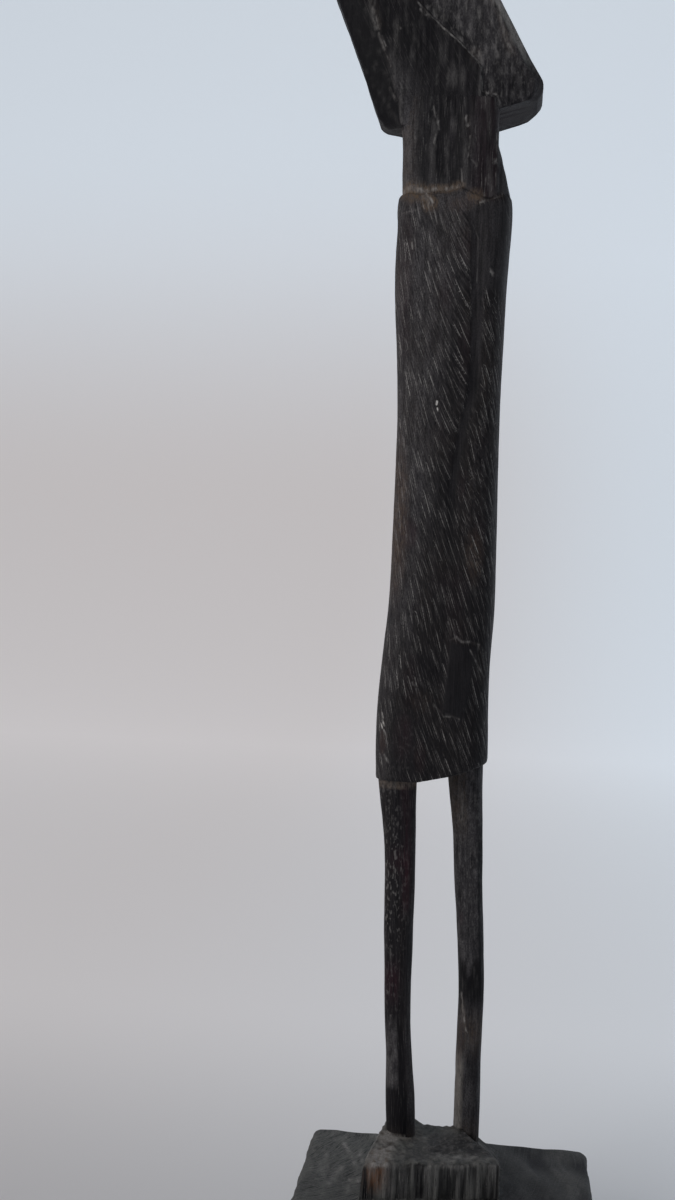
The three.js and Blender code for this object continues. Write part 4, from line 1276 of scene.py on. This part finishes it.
def dark_wood():
    g = Graph(SLOT)
    mm = g.stretch(g.node("TexCoord").outputs["Object"], (1000, 1000, 1000))
    line, film, warm = g.layers("dust")
    red, rust, base = g.layers("tint")
    polish, hair, hatch = g.layers("finish_and_shade")
    stroke, shade, speckle = g.layers("cuts")
    stroke_place = g.node("Attribute", attribute_name="stroke_place").outputs["Vector"]
    aside = g.maths("ABSOLUTE", g.node("SeparateXYZ", {0: stroke_place}).outputs[2], 0)

    grain = g.noise(mm, (1, 1, 0.065), 5, 0.62)
    fibre = g.noise(mm, (2.8, 2.8, 0.13), 3)
    mottle = g.noise(mm, (0.2, 0.2, 0.1), 4)
    speck = g.noise(mm, (1.7, 1.7, 0.6), 3, 0.7)
    fleck = g.noise(mm, (2.6, 2.6, 1.5), 2, 0.6)
    hatching = g.noise(stroke_place, (2.3, 0.16, 0), 3, 0.6)
    pore = g.ramp(g.noise(mm, (3.4, 3.4, 0.3), 2), 0.6, 0.7)
    dots = g.ramp(g.noise(mm, (1.25, 1.25, 0.6), 1.5, 0.5), 0.53, 0.7, 0, 0.3)
    hairlines = ((1.25, 0.032, 0), 0.15), ((0.93, 0.045, 0), 0.13), ((1.6, 0.06, 0), 0.15)
    hairs = g.maths("MAXIMUM", *(g.hairlines(stroke_place, *one) for one in hairlines))

    streak = g.plus(g.ramp(grain, 0.35, 0.68, 0, 0.75), g.ramp(fibre, 0.4, 0.7, 0, 0.4))
    worn = g.times(film, g.ramp(mottle, 0.3, 0.68, 0.6, 1), g.ramp(grain, 0.3, 0.65, 0.4, 0.95))
    wood = g.mix(streak, HEARTWOOD_DARK, HEARTWOOD_PALE)
    layers = [
        (g.times(worn, g.ramp(fleck, 0.35, 0.65, 0.5, 1.15)), GREY_FILM_AND_LIGHT),
        (g.times(base, g.ramp(grain, 0.3, 0.65, 0.35, 0.95)), WEATHERED_AND_LIT_GREY),
        (g.times(red, g.ramp(fibre, 0.3, 0.6, 0.3, 0.9)), RED_HEART),
        (g.times(warm, g.ramp(speck, 0.35, 0.65, 0.15, 0.8)), WARM_DUST),
        (g.times(rust, g.ramp(speck, 0.3, 0.6, 0.2, 0.9)), RUST),
        (g.times(hatch, g.ramp(hatching, 0.5, 0.3, 0, 0.75)), HEARTWOOD_DARK),
        (shade, HEARTWOOD_DARK),
        (g.times(hatch, g.ramp(hatching, 0.52, 0.72, 0, 0.13)), PALE_DUST_AND_HIGHLIGHT),
        (g.times(hairs, g.times(hatch, g.ramp(fleck, 0.35, 0.6, 0.1, 0.5))), PALE_DUST_AND_HIGHLIGHT),
        (g.times(stroke, g.ramp(aside, 0.24, 0.07), g.ramp(fleck, 0.34, 0.62, 0.25, 0.92)), PALE_DUST_AND_HIGHLIGHT),
        (g.times(speckle, dots), PALE_DUST_AND_HIGHLIGHT),
        (g.times(line, g.ramp(speck, 0.3, 0.6, 0.3, 0.9)), PALE_DUST_AND_HIGHLIGHT),
        (g.ramp(line, 1, 1.5), CHIP),
        (g.times(pore, 0.5), HEARTWOOD_DARK),
        # Painted shade in the cuts of the hair
        (g.times(hair, 0.6), HEARTWOOD_DARK),
    ]
    for amount, colour in layers:
        wood = g.mix(amount, wood, colour)

    rough = g.plus(g.ramp(grain, 0.3, 0.7, 0.54, 0.7), g.times(film, 0.12), g.times(line, 0.2))
    rough = g.maths("SUBTRACT", rough, g.times(polish, 0.08))
    height = g.plus(g.times(grain, 0.8), g.times(fibre, 0.5))
    height = g.maths("SUBTRACT", height, g.times(pore, 0.25))
    height = g.plus(height, g.times(hatch, hatching, 0.9))
    relief = g.node("Bump", {"Strength": 0.6, "Distance": 0.0003, "Height": height}).outputs[0]
    values = {"Base Color": wood, "Roughness": rough, "Normal": relief, "Specular IOR Level": 0.17}
    g.node("OutputMaterial", {"Surface": g.node("BsdfPrincipled", values).outputs[0]})
    return g.material


# Studio
PAPER_WARM = (0.5, 0.475, 0.474)
PAPER_COOL = (0.585, 0.635, 0.69)
LIT_MIDDLE = (0, 0, 0.24)


def backdrop():
    """A pale paper that glows softly, more on the wall than on the floor round the object. Its colour is
    painted light: greyer and warmer low on the left, bluer elsewhere
    """
    g = Graph("studio_floor")
    place = g.node("TexCoord").outputs["Object"]
    across, deep, height = g.node("SeparateXYZ", {0: place}).outputs[:3]
    warm_left = g.ramp(across, -0.3, 0.4, 1, 0.1)
    cool = g.maths("SUBTRACT", 1, g.times(warm_left, g.ramp(height, 0.4, 1.3, 1, 0)))
    paper = g.mix(cool, PAPER_WARM, PAPER_COOL)
    glow = g.plus(g.ramp(deep, -0.08, 0.24, 0.25, 0.62), g.ramp(deep, 0.3, 1.6, 0, 0.16))
    values = {"Base Color": paper, "Roughness": 0.7, "Emission Color": paper, "Emission Strength": glow}
    g.node("OutputMaterial", {"Surface": g.node("BsdfPrincipled", values).outputs[0]})
    return g.material


def studio():
    """A pale floor that curves up into a backdrop"""
    near, wall, curve, high, wide = -2.5, 2.4, 1, 3, 4
    arc = np.linspace(0, math.pi / 2, 24)
    ys = np.concatenate([[near, -0.5, 0.5], wall - curve + curve * np.sin(arc), [wall]])
    zs = np.concatenate([[0, 0, 0], curve - curve * np.cos(arc), [high]])
    points = np.array([(x, y, z) for y, z in zip(ys, zs) for x in (-wide, wide)])
    faces = [(2 * i, 2 * i + 1, 2 * i + 3, 2 * i + 2) for i in range(len(ys) - 1)]
    floor = mesh_object("studio_floor", points, faces)
    floor.data.shade_smooth()
    floor.data.materials.append(backdrop())


def area_light(name, place, size, power, colour):
    """A round light that looks at the figure's middle"""
    light = bpy.data.lights.new(name, "AREA")
    light.shape = "DISK"
    light.size = size
    light.energy = power
    light.color = colour
    lamp = bpy.data.objects.new(name, light)
    lamp.location = place
    away = np.array(LIT_MIDDLE) - np.array(place)
    x, y, z = away / np.linalg.norm(away)
    lamp.rotation_euler = (math.acos(-z), 0, math.atan2(-x, y))
    bpy.context.scene.collection.objects.link(lamp)


def lights():
    area_light("window_light", (-0.95, -0.85, 0.75), 0.8, 6.5, (1, 0.985, 0.98))
    area_light("rear_light", (1.15, 0.35, 0.55), 0.5, 1.1, (0.94, 0.97, 1))
    world = bpy.data.worlds.new("studio_air")
    world.use_nodes = True
    air = world.node_tree.nodes["Background"].inputs
    air["Color"].default_value = (0.82, 0.89, 0.97, 1)
    air["Strength"].default_value = 0.13
    bpy.context.scene.world = world
    bpy.context.scene.view_settings.view_transform = "Standard"


def camera():
    lens = bpy.data.cameras.new("camera")
    lens.lens = 37.5
    lens.sensor_width = 36
    eye = bpy.data.objects.new("camera", lens)
    eye.location = (0.0139, -0.4293, 0.219)
    eye.rotation_euler = (math.radians(90), math.radians(-2), math.radians(7.2))
    bpy.context.scene.collection.objects.link(eye)
    bpy.context.scene.camera = eye


PIECES = [
    ("robe", robe()),
    ("neck", neck()),
    ("head", head()),
    ("rear_leg", leg(REAR_LEG, -LEG_OFFSET)),
    ("front_leg", leg(FRONT_LEG, LEG_OFFSET)),
    ("slab", slab()),
    ("block", block()),
    ("right_ear", ear(-1)),
    ("left_ear", ear(1)),
]
figure = join_solids(PIECES)
refine(figure)
carve(figure, PIECES)
figure.data.materials.clear()
figure.data.materials.append(dark_wood())
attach(figure, BODY)
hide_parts(NODE)

studio()
lights()
camera()
